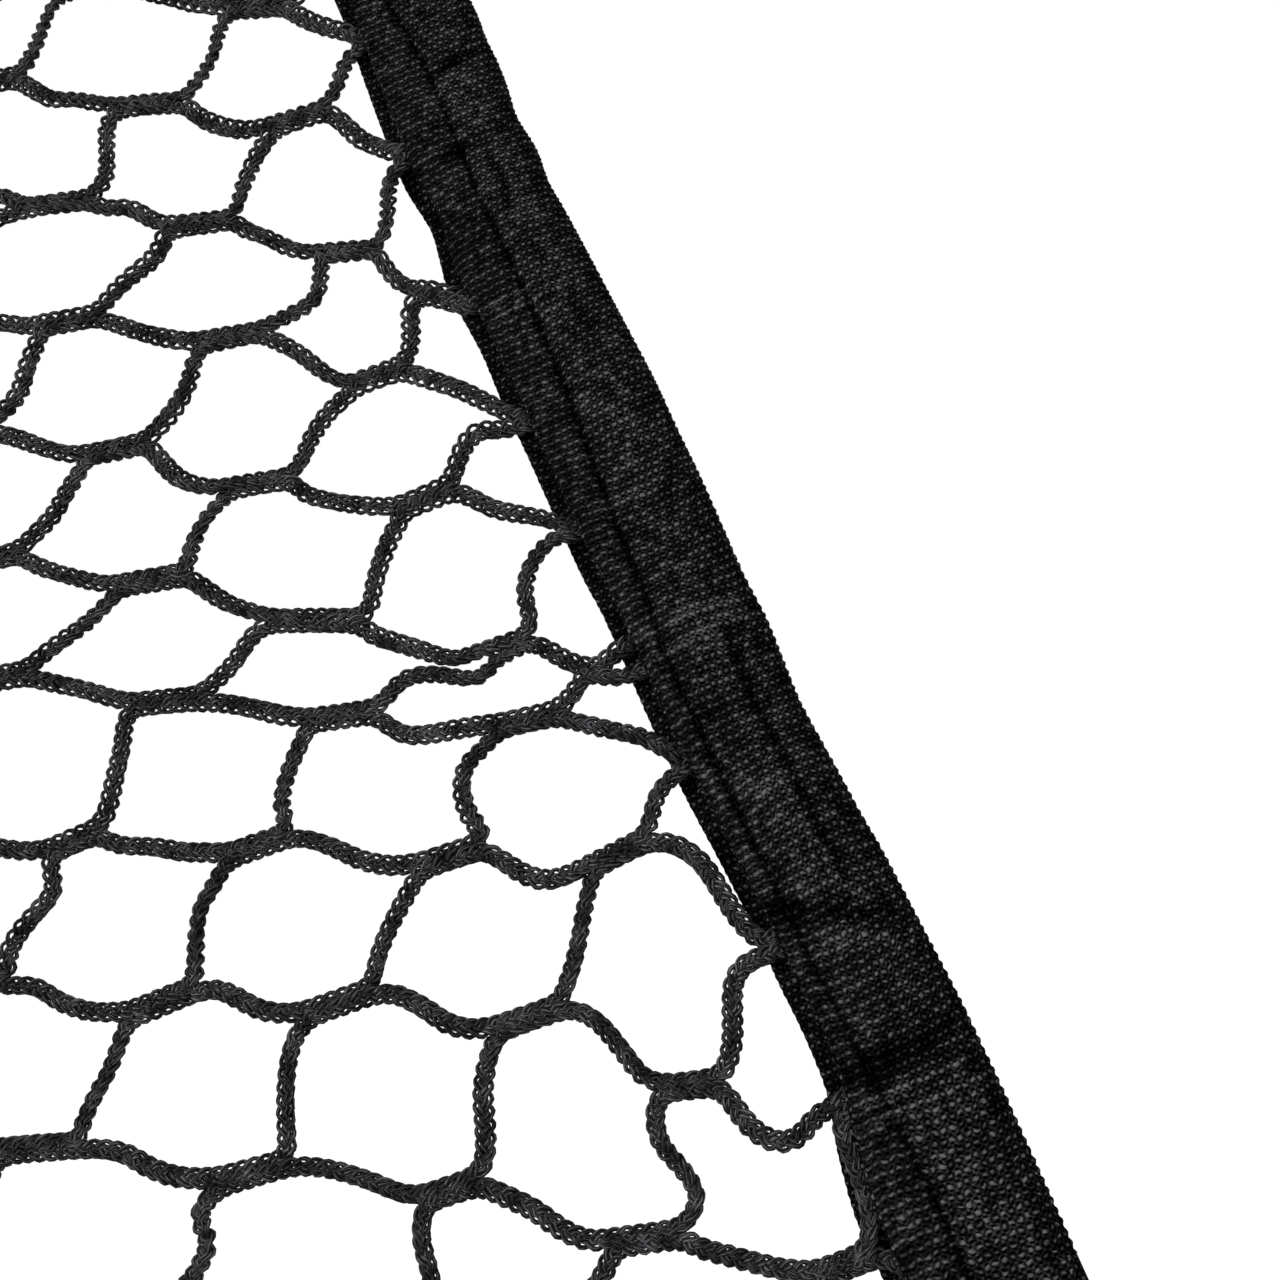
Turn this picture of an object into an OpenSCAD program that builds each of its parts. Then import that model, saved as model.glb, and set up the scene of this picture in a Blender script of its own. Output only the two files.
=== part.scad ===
// Pitch back rebounder: a square tube frame that leans back on a folding
// stand, with a bordered knotless net held inside it by eight elastic ties.
// Millimetres, +Z up, the thrower stands on the -Y side. The origin is on the
// ground, in the middle of the footprint.

/* [Net frame] */
// Outside width of the square net frame, and its height up the slope
frame_size = 1270; // [1180:10:1500]
// Outside diameter of every tube
tube_od = 28; // [26:1:31]
// Wall of every tube
tube_wall = 1.2; // [1:0.1:1.6]
// Radius of the corner bends, to the centre line of the tube
bend_r = 90; // [70:5:120]
// Backward lean of the net frame, in degrees
lean = 20; // [15:1:24]
// Distance from the bottom tube up to the joint between the two bows
split_s = 500; // [420:10:540]
// Length of the swaged spigot at each tube joint
spigot_len = 60; // [50:5:70]
// Length of the taper inside the tube where the spigot begins
swage_len = 4; // [3:1:8]

/* [Stand] */
// Distance from the bottom tube up to the stand's pivot
pivot_s = 760; // [730:10:820]
// Distance between the two bottom tubes when the stand is folded flat
fold_drop = 49; // [46:1:60]
// Height of the stand's foot bow, up the leg
foot_rise = 260; // [220:10:300]
// Length of leg above the pivot
leg_over = 35; // [28:1:45]
// How far the stand opens past its working angle, in degrees
open_more = 15; // [8:1:18]

/* [Pivot and clamp] */
// Diameter of the pivot bolts and of the clamp bolts
bolt_d = 8; // [6:1:10]
// Radius of a carriage bolt's domed head
head_r = 10; // [9:0.5:12]
// Height of that head
head_h = 4.5; // [3:0.5:6]
// Thickness of the nylon saddle between the frame and the stand
spacer_t = 7.7; // [6.5:0.1:10]
// Radius of that saddle
spacer_r = 14; // [12:1:16]
// How far the saddle's rim reaches round the tube
saddle_wrap = 4; // [3:0.5:6]
// Thickness of the sector plate
plate_t = 3; // [2:0.5:4]
// Radius of the sector plate round the pivot
hub_r = 20; // [17:1:24]
// Length of the plate's tab along the leg
tab_len = 96; // [85:1:100]
// Half the width of that tab
tab_half = 11; // [10:1:13]
// Radius of the slot that the clamp bolt runs in
slot_reach = 90; // [80:1:100]
// Steel left round the slot
slot_land = 15; // [12:1:18]
// Places of the two rivets down the tab
rivet_at = 42; // [34:1:50]
// Distance between those rivets
rivet_pitch = 42; // [30:1:44]
// Diameter of a rivet's shank
rivet_d = 4.8; // [4:0.2:6]
// Thickness of the clamp washer
washer_t = 1.5; // [1:0.5:2]
// Radius of the clamp washer
washer_r = 12; // [10:1:13]
// Radius of the clamp knob, over its lobes
knob_r = 24; // [21:1:27]
// Height of the knob's lobed head
knob_h = 15; // [13:1:20]
// Height of the neck under the head
knob_neck = 8; // [6:1:12]
// Number of lobes
knob_lobes = 5; // [4:1:7]
// Width across the flats of the pivot nut
nut_af = 13; // [13:1:16]
// Height of the pivot nut over its flange
nut_h = 8; // [6:0.5:10]

/* [Feet and stakes] */
// Height of both bottom tubes above the ground, to the centre line
tube_z = 20; // [19:1:24]
// Rubber round the tube
foot_wall = 5.5; // [5.5:0.5:7]
// Length of a rubber foot along the tube
foot_len = 70; // [50:5:90]
// Distance of each foot's middle from the axis of the frame's side tube
foot_inset = 191; // [170:1:205]
// Depth of the grooves in the sole
groove_d = 1.5; // [1:0.5:2.5]
// Width of those grooves
groove_w = 4; // [3:0.5:5]
// Distance from one groove to the next
groove_pitch = 14; // [12:1:16]
// Diameter of the holes for the ground stakes
stake_d = 9; // [7:0.5:10]
// Distance of each stake hole from that axis
stake_inset = 321; // [270:1:380]

/* [Snap buttons] */
// Diameter of a snap button
button_d = 7.9; // [7:0.1:8.5]
// How far a button stands out of the tube
button_proud = 3.5; // [2.5:0.5:4.5]
// Width of the leaf spring behind a button
leaf_w = 8; // [6:0.5:9]
// Thickness of that leaf
leaf_t = 0.8; // [0.6:0.1:1.2]
// Distance from the button to the end of the leaf's long leg
leaf_reach = 24; // [20:1:28]

/* [Net] */
// Width and height of the net with its border
net_size = 860; // [780:10:880]
// Width of the folded webbing border
border_w = 26; // [22:1:32]
// How far the back layer of the border shows past the front one
border_lip = 3; // [2:0.5:5]
// Thickness of the webbing
web_t = 1.6; // [1.2:0.1:2]
// Thickness of the net's cord
net_cord = 3; // [2.5:0.1:3.5]
// Gaps across the net
mesh_cols = 8; // [5:1:8]
// Gaps up the net
mesh_rows = 14; // [10:2:16]
// Length of a junction, where two cords are knitted into one
junction_len = 13; // [10:1:18]
// Width of a junction
junction_w = 4.4; // [3.6:0.1:5]
// How far the net's edge lies inside the border
net_cover = 12; // [9:1:14]
// Width of the selvedge cord inside the border
selvedge_w = 5; // [4:0.5:6]

/* [Ties] */
// Width of a wire ring, between its side wires
ring_w = 29; // [28:1:34]
// Depth of a wire ring, between its two long wires
ring_depth = 17; // [15:1:22]
// Diameter of the ring's wire
ring_wire = 4; // [3:0.5:5]
// Radius of the ring's corners
ring_bend = 5; // [4:0.5:6]
// Width of the webbing tab that holds a ring
tab_w = 20; // [16:1:20]
// Length of tab that is sewn to the border
tab_seat = 22; // [16:1:24]
// Diameter of the elastic cord
cord_d = 5; // [4:0.5:5.5]
// Distance between the two strands of a tie
strand_pitch = 6; // [5.8:0.2:8]
// Diameter of the ball that locks a tie
ball_d = 22; // [18:1:26]
// Distance of the ball's centre from where the cord leaves the tube
ball_back = 30; // [26:1:40]

/* [Hidden] */

$fn = 48;
cut = 0.01;          // overrun of a cutting solid past the face it opens
seat_gap = 0.1;      // clearance of a piece that is fixed on another
run_gap = 0.05;      // radial clearance of a shaft that turns in its hole
face_gap = 0.3;      // clearance between faces that move past each other
slide_gap = 0.15;    // clearance of a spigot in its tube

tube_r = tube_od / 2;
bore_r = tube_r - tube_wall;
spigot_r = bore_r - slide_gap;
spigot_bore_r = spigot_r - tube_wall;
half = frame_size / 2 - tube_r;
foot_x = half - foot_inset;
stake_x = half - stake_inset;
bolt_r = bolt_d / 2;

// Stand: its leg is longer than the frame is below the pivot, so that the
// foot tube passes under the frame when the stand folds
leg_len = pivot_s + fold_drop;
stand_lean = acos(pivot_s * cos(lean) / leg_len);
spread = pivot_s * sin(lean) + leg_len * sin(stand_lean);
frame_y = -spread / 2;
pivot_y = frame_y + pivot_s * sin(lean);
pivot_z = tube_z + pivot_s * cos(lean);
fold_angle = lean + stand_lean;

// Stack on each side of the frame, outwards from its side tube
plate_x = half + tube_r + spacer_t + face_gap;
leg_x = plate_x + plate_t + tube_r;
washer_x = plate_x + plate_t + face_gap;
knob_x = washer_x + washer_t + face_gap;
nut_x = leg_x + tube_r + face_gap;
bolt_over = 2;       // thread showing past the pivot nut
nut_flange_t = 1.5;
nut_flange_r = nut_af / 2 + 3;
stud_end = 20;       // length of clamp bolt inside the knob
knob_roof = 2;       // space over the bolt's end inside the knob
knob_hub_r = 13;
knob_round = 3;      // rounding of the knob's top edge
lobe_cut_r = 9;
lobe_cut_out = 4;
slot_r = bolt_r + run_gap;
slot_spare = 0.5;    // degrees of slot past each end of the fold
end_ease = 0.05;     // how much wider an arc's round end is than the arc
slot_from = 90 - fold_angle - open_more - slot_spare;
slot_to = 90 + slot_spare;
rivet_head_r = 5;
rivet_head_t = 1.3;
rivet_tail = 4;      // length of a rivet behind the leg's wall
cap_t = 3;
cap_plug = 18;
cap_brim = 0.8;

foot_r = tube_r + foot_wall;
sole_chamfer = 3;

// Snap buttons: measured from the tube's axis towards the middle of the frame
button_r = button_d / 2;
button_hole_r = button_r + run_gap;
button_tip = tube_r + button_proud;
button_flange_r = button_r + 1;
button_flange_t = 1;
button_root = 8.6;
button_dome = 6;
leaf_front = button_root - face_gap;
leaf_back = sqrt(pow(spigot_bore_r - seat_gap, 2) - pow(leaf_w / 2, 2));
leaf_tail = 10;      // length of leaf below the button
leaf_r = (leaf_front + leaf_back) / 2;

net_half = net_size / 2;
border_hollow = net_cord + seat_gap;
border_r = border_hollow / 2 + web_t;
mesh_half = net_half - border_w + net_cover;
mesh_a = mesh_half / mesh_cols;
mesh_b = mesh_half / mesh_rows;
// Slope of a cord between two junctions
mesh_slope = atan2(mesh_b, mesh_a - junction_len);
gap_tip = mesh_a - junction_len / 2 - net_cord / 2 / sin(mesh_slope);
gap_rise = mesh_b - junction_w / 2;
gap_top = gap_tip - gap_rise / tan(mesh_slope);

ring_r = ring_wire / 2;
cord_r = cord_d / 2;
loop_out = 3;        // the tab's loop beyond the border, to the loop's centre
ring_in = loop_out + border_r - ring_r - seat_gap;
ring_far = ring_in + ring_depth;
strand_x = strand_pitch / 2;
belt_small = ring_r + cord_r + face_gap + seat_gap;
belt_big = tube_r + cord_r + face_gap;
cord_sides = 8;
ball_land = 1;       // rim of the ball's flat outside its holes
ring_steps = 8;      // straight steps of the cord round the ring's wire
tube_steps = 12;     // and round the tube

// Reach of the net and of the tubes from the net's centre, on a side or a corner
function net_reach(k) = k % 2 == 0 ? net_half : net_half * sqrt(2);
function tube_reach(k) = k % 2 == 0 ? half : (half - bend_r) * sqrt(2) + bend_r;

// ---------------------------------------------------------------- placing

// The plane of the net: x to the right, z up the slope, y out of the back,
// with its origin at the net's centre
module in_plane() {
    translate([0, frame_y, tube_z])
        rotate([-lean, 0, 0])
            translate([0, 0, half])
                children();
}

// The plane of the stand: its origin on the pivot's line, -z down the legs
module in_stand() {
    translate([0, pivot_y, pivot_z])
        rotate([stand_lean, 0, 0])
            children();
}

// A right-hand piece, or its left-hand twin
module on_side(side) {
    mirror([side < 0 ? 1 : 0, 0, 0])
        children();
}

// One of the eight places round the net: x points outwards, z along the border
module at_tie(k) {
    in_plane()
        rotate([0, -45 * k, 0])
            children();
}

// ------------------------------------------------------------------ tubes

// Solid of radius r along a U: its bottom on z = 0, its arms up to z = reach
module bow_path(r, half_w, reach) {
    flat = half_w - bend_r;
    translate([-flat, 0, 0])
        rotate([0, 90, 0])
            cylinder(r = r, h = 2 * flat);
    for (side = [-1, 1]) {
        translate([side * flat, 0, bend_r])
            rotate([90, 0, 0])
                rotate([0, 0, side > 0 ? -90 : 180])
                    rotate_extrude(angle = 90)
                        translate([bend_r, 0])
                            circle(r = r);
        translate([side * half_w, 0, bend_r])
            cylinder(r = r, h = reach - bend_r);
    }
}

// Hole through one wall of an arm, on the side that faces the middle
module button_holes(half_w, z) {
    for (side = [-1, 1])
        translate([side * half_w, 0, z])
            rotate([0, -90 * side, 0])
                cylinder(r = button_hole_r, h = tube_od);
}

// U of tube with a plain open end on each arm
module plain_bow(half_w, reach) {
    difference() {
        bow_path(tube_r, half_w, reach);
        bow_path(bore_r, half_w, reach + cut);
        button_holes(half_w, reach - spigot_len / 2);
    }
}

// U of tube whose arms end in spigots that enter the next tube
module swaged_bow(half_w, reach) {
    difference() {
        union() {
            bow_path(tube_r, half_w, reach);
            for (side = [-1, 1])
                translate([side * half_w, 0, reach - swage_len])
                    cylinder(r = spigot_r, h = swage_len + spigot_len);
        }
        bow_path(bore_r, half_w, reach - swage_len);
        for (side = [-1, 1])
            translate([side * half_w, 0, reach - swage_len]) {
                cylinder(r1 = bore_r, r2 = spigot_bore_r, h = swage_len);
                translate([0, 0, swage_len - cut])
                    cylinder(r = spigot_bore_r, h = spigot_len + 2 * cut);
            }
        button_holes(half_w, reach + spigot_len / 2);
    }
}

// Upright holes through a bottom tube, for the ground stakes
module stake_holes(y) {
    for (side = [-1, 1])
        translate([side * stake_x, y, tube_z])
            cylinder(d = stake_d, h = tube_od + 2, center = true);
}

module upper_frame_bow() {
    color("#1b1c1e")
        in_plane()
            difference() {
                mirror([0, 0, 1])
                    translate([0, 0, -half])
                        plain_bow(half, 2 * half - split_s);
                for (side = [-1, 1], up = [0, slot_reach])
                    translate([side * half, 0, pivot_s - half + up])
                        rotate([0, 90, 0])
                            cylinder(r = bolt_r + run_gap, h = tube_od + 2, center = true);
            }
}

module lower_frame_bow() {
    color("#1b1c1e")
        difference() {
            in_plane()
                translate([0, 0, -half])
                    swaged_bow(half, split_s);
            stake_holes(frame_y);
        }
}

module stand_foot_bow() {
    color("#1b1c1e")
        difference() {
            in_stand()
                translate([0, 0, -leg_len])
                    swaged_bow(leg_x, foot_rise);
            stake_holes(frame_y + spread);
        }
}

module stand_leg(side) {
    color("#1b1c1e")
        on_side(side)
            in_stand()
                difference() {
                    translate([leg_x, 0, foot_rise - leg_len])
                        difference() {
                            cylinder(r = tube_r, h = leg_len - foot_rise + leg_over);
                            translate([0, 0, -cut])
                                cylinder(r = bore_r, h = leg_len - foot_rise + leg_over + 2 * cut);
                            translate([0, 0, spigot_len / 2])
                                rotate([0, -90, 0])
                                    cylinder(r = button_hole_r, h = tube_od);
                        }
                    translate([leg_x, 0, 0])
                        rotate([0, 90, 0])
                            cylinder(r = bolt_r + run_gap, h = tube_od + 2, center = true);
                    for (i = [0, 1])
                        translate([leg_x - tube_od, 0, -rivet_at - i * rivet_pitch])
                            rotate([0, 90, 0])
                                cylinder(d = rivet_d + 2 * seat_gap, h = tube_od);
                }
}

module leg_cap(side) {
    color("#141414")
        on_side(side)
            in_stand()
                translate([leg_x, 0, leg_over]) {
                    rotate_extrude()
                        intersection() {
                            translate([0, cap_t - tube_od])
                                circle(r = tube_od);
                            square([tube_r + cap_brim, cap_t]);
                        }
                    translate([0, 0, -cap_plug])
                        difference() {
                            cylinder(r = bore_r - seat_gap, h = cap_plug + cut);
                            translate([0, 0, -cut])
                                cylinder(r = bore_r - tube_wall - 1, h = cap_plug);
                        }
                }
}

// ------------------------------------------------------------------- feet

// Rubber sleeve round a bottom tube, with a flat grooved sole on the ground
module rubber_foot(side, y) {
    color("#101010")
        translate([side * foot_x, y, tube_z])
            difference() {
                rotate([90, 0, 90])
                    linear_extrude(foot_len, center = true)
                        difference() {
                            union() {
                                circle(r = foot_r);
                                polygon([
                                    [-foot_r, 0],
                                    [-foot_r, sole_chamfer - tube_z],
                                    [sole_chamfer - foot_r, -tube_z],
                                    [foot_r - sole_chamfer, -tube_z],
                                    [foot_r, sole_chamfer - tube_z],
                                    [foot_r, 0]
                                ]);
                            }
                            circle(r = tube_r + seat_gap);
                        }
                for (i = [-1 : 1])
                    translate([i * groove_pitch, 0, -tube_z])
                        cube([groove_w, 2 * foot_r + 2, 2 * groove_d], center = true);
            }
}

// -------------------------------------------------------- pivot and clamp

// Domed head whose flat face is on x = 0 and points along +x
module bolt_head() {
    rotate([0, -90, 0])
        rotate_extrude()
            intersection() {
                translate([0, head_h - head_r * 1.5])
                    circle(r = head_r * 1.5);
                square([head_r, head_h]);
            }
}

// Carriage bolt through the side tube, at a height up the slope, to x = end
module carriage_bolt(up, end) {
    translate([half - tube_r, 0, up]) {
        bolt_head();
        translate([-cut, 0, 0])
            rotate([0, 90, 0])
                cylinder(r = bolt_r, h = end - half + tube_r + cut);
    }
}

module pivot_bolts() {
    color("#9a9c9f")
        for (side = [-1, 1])
            on_side(side)
                in_plane()
                    carriage_bolt(pivot_s - half, nut_x + nut_h + bolt_over);
}

module clamp_bolts() {
    color("#9a9c9f")
        for (side = [-1, 1])
            on_side(side)
                in_plane()
                    carriage_bolt(pivot_s - half + slot_reach, knob_x + stud_end);
}

module pivot_nuts() {
    color("#9a9c9f")
        for (side = [-1, 1])
            on_side(side)
                in_plane()
                    translate([nut_x, 0, pivot_s - half])
                        rotate([0, 90, 0])
                            difference() {
                                union() {
                                    cylinder(r = nut_flange_r, h = nut_flange_t);
                                    cylinder(r = nut_af / 2 / cos(30), h = nut_h, $fn = 6);
                                }
                                translate([0, 0, -cut])
                                    cylinder(r = bolt_r + run_gap, h = nut_h + 2 * cut);
                            }
}

module clamp_washers() {
    color("#9a9c9f")
        for (side = [-1, 1])
            on_side(side)
                in_plane()
                    translate([washer_x, 0, pivot_s - half + slot_reach])
                        rotate([0, 90, 0])
                            difference() {
                                cylinder(r = washer_r, h = washer_t);
                                translate([0, 0, -cut])
                                    cylinder(r = bolt_r + seat_gap, h = washer_t + 2 * cut);
                            }
}

// Nylon washers with a hollow side that fits the tube
module saddle_spacers() {
    color("#202020")
        for (side = [-1, 1], up = [0, slot_reach])
            on_side(side)
                in_plane()
                    translate([half, 0, pivot_s - half + up])
                        difference() {
                            translate([tube_r - saddle_wrap, 0, 0])
                                rotate([0, 90, 0])
                                    cylinder(r = spacer_r, h = spacer_t + saddle_wrap);
                            cylinder(r = tube_r + seat_gap, h = 3 * spacer_r, center = true);
                            rotate([0, 90, 0])
                                cylinder(r = bolt_r + seat_gap, h = tube_od + spacer_t);
                        }
}

// Flat region between two directions from the pivot, out to a long way off
module wedge(from, to) {
    far = 4 * slot_reach;
    mid = (from + to) / 2;
    polygon([
        [0, 0],
        [far * cos(from), far * sin(from)],
        [far * cos(mid), far * sin(mid)],
        [far * cos(to), far * sin(to)]
    ]);
}

// Band of half-width w that follows the clamp bolt's arc, with a disc on each
// end that takes in the band's corners
module arc_band(w) {
    intersection() {
        difference() {
            circle(r = slot_reach + w);
            circle(r = slot_reach - w);
        }
        wedge(slot_from, slot_to);
    }
    for (a = [slot_from, slot_to])
        rotate(a)
            translate([slot_reach, 0])
                circle(r = w + end_ease);
}

// Sector plate riveted to the leg: hub on the pivot, fan with the clamp's slot
module sector_plate(side) {
    color("#1b1c1e")
        on_side(side)
            in_stand()
                translate([plate_x, 0, 0])
                    rotate([90, 0, 90])
                        linear_extrude(plate_t)
                            difference() {
                                union() {
                                    circle(r = hub_r);
                                    translate([-tab_half, -tab_len])
                                        square([2 * tab_half, tab_len]);
                                    translate([0, -tab_len])
                                        circle(r = tab_half);
                                    arc_band(slot_land);
                                    intersection() {
                                        circle(r = slot_reach);
                                        wedge(slot_from, slot_to);
                                    }
                                }
                                circle(r = bolt_r + run_gap);
                                arc_band(slot_r);
                                for (i = [0, 1])
                                    translate([0, -rivet_at - i * rivet_pitch])
                                        circle(d = rivet_d + 2 * seat_gap);
                            }
}

module plate_rivets() {
    color("#8a8c8f")
        for (side = [-1, 1], i = [0, 1])
            on_side(side)
                in_stand()
                    translate([plate_x, 0, -rivet_at - i * rivet_pitch])
                        rotate([0, 90, 0]) {
                            translate([0, 0, -rivet_head_t])
                                cylinder(r1 = rivet_head_r - 1, r2 = rivet_head_r, h = rivet_head_t);
                            cylinder(d = rivet_d, h = plate_t + rivet_tail);
                        }
}

// Five-lobed knob, turned by hand: its foot on z = 0, its top along +z
module lobed_knob() {
    difference() {
        union() {
            cylinder(r = knob_hub_r, h = knob_neck + cut);
            translate([0, 0, knob_neck])
                intersection() {
                    linear_extrude(knob_h)
                        difference() {
                            circle(r = knob_r);
                            for (i = [1 : knob_lobes])
                                rotate(i * 360 / knob_lobes)
                                    translate([knob_r + lobe_cut_out, 0])
                                        circle(r = lobe_cut_r);
                        }
                    rotate_extrude() {
                        square([knob_r - knob_round, knob_h]);
                        square([knob_r, knob_h - knob_round]);
                        translate([knob_r - knob_round, knob_h - knob_round])
                            circle(r = knob_round);
                    }
                }
        }
        translate([0, 0, -cut])
            cylinder(r = bolt_r + run_gap, h = stud_end + knob_roof - face_gap);
    }
}

module clamp_knob(side) {
    color("#161616")
        on_side(side)
            in_plane()
                translate([knob_x, 0, pivot_s - half + slot_reach])
                    rotate([0, 90, 0])
                        lobed_knob();
}

// ----------------------------------------------------------- snap buttons

// Button and leaf are drawn for a left-hand tube on the z axis: the button
// points along +x, towards the middle of the frame
module snap_button() {
    color("#a8aaad")
        intersection() {
            rotate([0, 90, 0])
                union() {
                    translate([0, 0, button_root])
                        cylinder(r = button_flange_r, h = button_flange_t);
                    translate([0, 0, button_root])
                        cylinder(r = button_r, h = button_tip - button_root);
                }
            translate([button_tip - button_dome, 0, 0])
                sphere(r = button_dome);
        }
}

module snap_leaf() {
    color("#8d8f92")
        rotate([90, 0, 0])
            linear_extrude(leaf_w, center = true) {
                translate([leaf_front - leaf_t, -leaf_tail])
                    square([leaf_t, leaf_tail + leaf_reach]);
                translate([-leaf_back, 0])
                    square([leaf_t, leaf_reach]);
                translate([leaf_front - leaf_r, leaf_reach])
                    difference() {
                        circle(r = leaf_r);
                        circle(r = leaf_r - leaf_t);
                        translate([-2 * leaf_r, -4 * leaf_r])
                            square(4 * leaf_r);
                    }
            }
}

// Places of the snap buttons in the frame's tubes and in the stand's legs
module in_frame_joint(side) {
    on_side(-side)
        in_plane()
            translate([-half, 0, split_s - half + spigot_len / 2])
                children();
}

module in_leg_joint(side) {
    on_side(-side)
        in_stand()
            translate([-leg_x, 0, foot_rise - leg_len + spigot_len / 2])
                children();
}

// -------------------------------------------------------------------- net

// Corners of one gap of the net, round its centre, kept inside the selvedge
function inside(v) = max(-mesh_half, min(mesh_half, v));
function gap_corners(x, y) = [
    for (p = [
        [-gap_tip, 0], [-gap_top, gap_rise], [gap_top, gap_rise],
        [gap_tip, 0], [gap_top, -gap_rise], [-gap_top, -gap_rise]
    ]) [inside(x + p[0]), inside(y + p[1])]
];
// Centres of the gaps: every other row starts half a gap further on
gap_centres = [
    for (j = [-mesh_rows : mesh_rows])
        let (odd = abs(j) % 2)
            for (i = [0 : mesh_cols - 1 + odd])
                [(2 * i + 1 - odd - mesh_cols) * mesh_a, j * mesh_b]
];

// Flat knitted net: long junctions, and a cord from each end of one to the next
module net_mesh() {
    rim = mesh_half + selvedge_w;
    corners = [for (c = gap_centres) each gap_corners(c[0], c[1])];
    color("#17181a")
        in_plane()
            rotate([90, 0, 0])
                linear_extrude(net_cord, center = true)
                    polygon(
                        concat([[-rim, -rim], [rim, -rim], [rim, rim], [-rim, rim]], corners),
                        concat(
                            [[0, 1, 2, 3]],
                            [for (g = [0 : len(gap_centres) - 1]) [for (n = [0 : 5]) 4 + 6 * g + n]]
                        )
                    );
}

// Section of the folded webbing: x outwards, y through the net, fold outside
module border_section() {
    inner = net_half - border_w;
    centre = net_half - border_r;
    difference() {
        union() {
            translate([centre, 0])
                circle(r = border_r);
            translate([inner, 0])
                square([centre - inner, border_r]);
            translate([inner + border_lip, -border_r])
                square([centre - inner - border_lip, border_r]);
        }
        translate([inner - 1, -border_hollow / 2])
            square([centre - inner + 1, border_hollow]);
        translate([centre, 0])
            circle(r = border_hollow / 2);
    }
}

// One side of the border, mitred to meet its neighbours
module net_border(k) {
    color("#1d1e20")
        at_tie(2 * k)
            intersection() {
                linear_extrude(2 * net_half, center = true)
                    border_section();
                rotate([90, 0, 0])
                    linear_extrude(4 * border_r, center = true)
                        polygon([[0, 0], [net_size, -net_size], [net_size, net_size]]);
            }
}

// Webbing tabs sewn over the border, each with a loop round a wire ring
module ring_tabs() {
    color("#1d1e20")
        for (k = [0 : 7])
            at_tie(k)
                translate([net_reach(k) + loop_out, 0, 0])
                    linear_extrude(tab_w, center = true)
                        difference() {
                            union() {
                                circle(r = border_r + web_t);
                                translate([-loop_out - tab_seat, -border_r - web_t])
                                    square([loop_out + tab_seat, 2 * (border_r + web_t)]);
                            }
                            circle(r = border_r);
                            translate([-loop_out - tab_seat - 1, -border_r])
                                square([loop_out + tab_seat + 1, 2 * border_r]);
                        }
}

// Rectangular ring of wire, flat in the plane of the net
module wire_rings() {
    long = ring_w - 2 * ring_bend;
    deep = ring_depth - 2 * ring_bend;
    color("#a8aaad")
        for (k = [0 : 7])
            at_tie(k)
                translate([net_reach(k) + ring_in + ring_depth / 2, 0, 0])
                    for (flip = [-1, 1])
                        scale([flip, 1, flip]) {
                            translate([ring_depth / 2, 0, -long / 2])
                                cylinder(r = ring_r, h = long);
                            translate([-deep / 2, 0, ring_w / 2])
                                rotate([0, 90, 0])
                                    cylinder(r = ring_r, h = deep);
                            for (up = [0, 1])
                                mirror([0, 0, up])
                                    translate([deep / 2, 0, long / 2])
                                        rotate([90, 0, 0])
                                            rotate_extrude(angle = 90)
                                                translate([ring_bend, 0])
                                                    circle(r = ring_r);
                        }
}

// ------------------------------------------------------------------- ties

function belt_span(k) = tube_reach(k) - net_reach(k) - ring_far;
function belt_angle(k) = asin((belt_big - belt_small) / belt_span(k));

// Stations along the closed loop of a tie: the axis that the cord bends round,
// the direction from it, and the radius of the bend
function belt_stations(k) =
    let (slope = belt_angle(k), near = net_reach(k) + ring_far, far = tube_reach(k))
        concat(
            [for (i = [0 : ring_steps]) [near, 90 + slope + i * (180 - 2 * slope) / ring_steps, belt_small]],
            [for (i = [0 : tube_steps]) [far, -90 - slope + i * (180 + 2 * slope) / tube_steps, belt_big]]
        );

// One strand of the elastic cord, swept along those stations
module strand(k) {
    stations = belt_stations(k);
    count = len(stations);
    points = [
        for (s = stations)
            for (j = [0 : cord_sides - 1])
                let (reach = s[2] + cord_r * cos(j * 360 / cord_sides))
                    [s[0] + reach * cos(s[1]), reach * sin(s[1]), cord_r * sin(j * 360 / cord_sides)]
    ];
    faces = [
        for (i = [0 : count - 1])
            for (j = [0 : cord_sides - 1])
                let (
                    a = i * cord_sides + j,
                    b = i * cord_sides + (j + 1) % cord_sides,
                    c = (i + 1) % count * cord_sides + (j + 1) % cord_sides,
                    d = (i + 1) % count * cord_sides + j
                )
                    each [[a, b, c], [a, c, d]]
    ];
    polyhedron(points, faces);
}

// Endless elastic cord, two strands wide, round the ring's wire and the tube
module tie_cord(k) {
    color("#151515")
        at_tie(k)
            for (z = [-strand_x, strand_x])
                translate([0, 0, z])
                    strand(k);
}

// Ball threaded on the front run of each tie, close to the tube, with a small
// flat at each end where the two strands enter
module tie_balls() {
    bore = cord_r + seat_gap;
    flat_r = strand_x + bore + ball_land;
    flat_at = sqrt(pow(ball_d / 2, 2) - pow(flat_r, 2));
    color("#141414")
        for (k = [0 : 7])
            at_tie(k)
                mirror([0, 1, 0])
                    translate([tube_reach(k), 0, 0])
                        rotate([0, 0, belt_angle(k)])
                            translate([-ball_back, belt_big, 0])
                                rotate([0, 90, 0])
                                    difference() {
                                        rotate_extrude()
                                            intersection() {
                                                circle(d = ball_d);
                                                translate([0, -flat_at])
                                                    square([ball_d, 2 * flat_at]);
                                            }
                                        for (x = [-strand_x, strand_x])
                                            translate([x, 0, 0])
                                                cylinder(r = bore, h = 2 * ball_d, center = true);
                                    }
}

// ------------------------------------------------------------------ pieces

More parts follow.
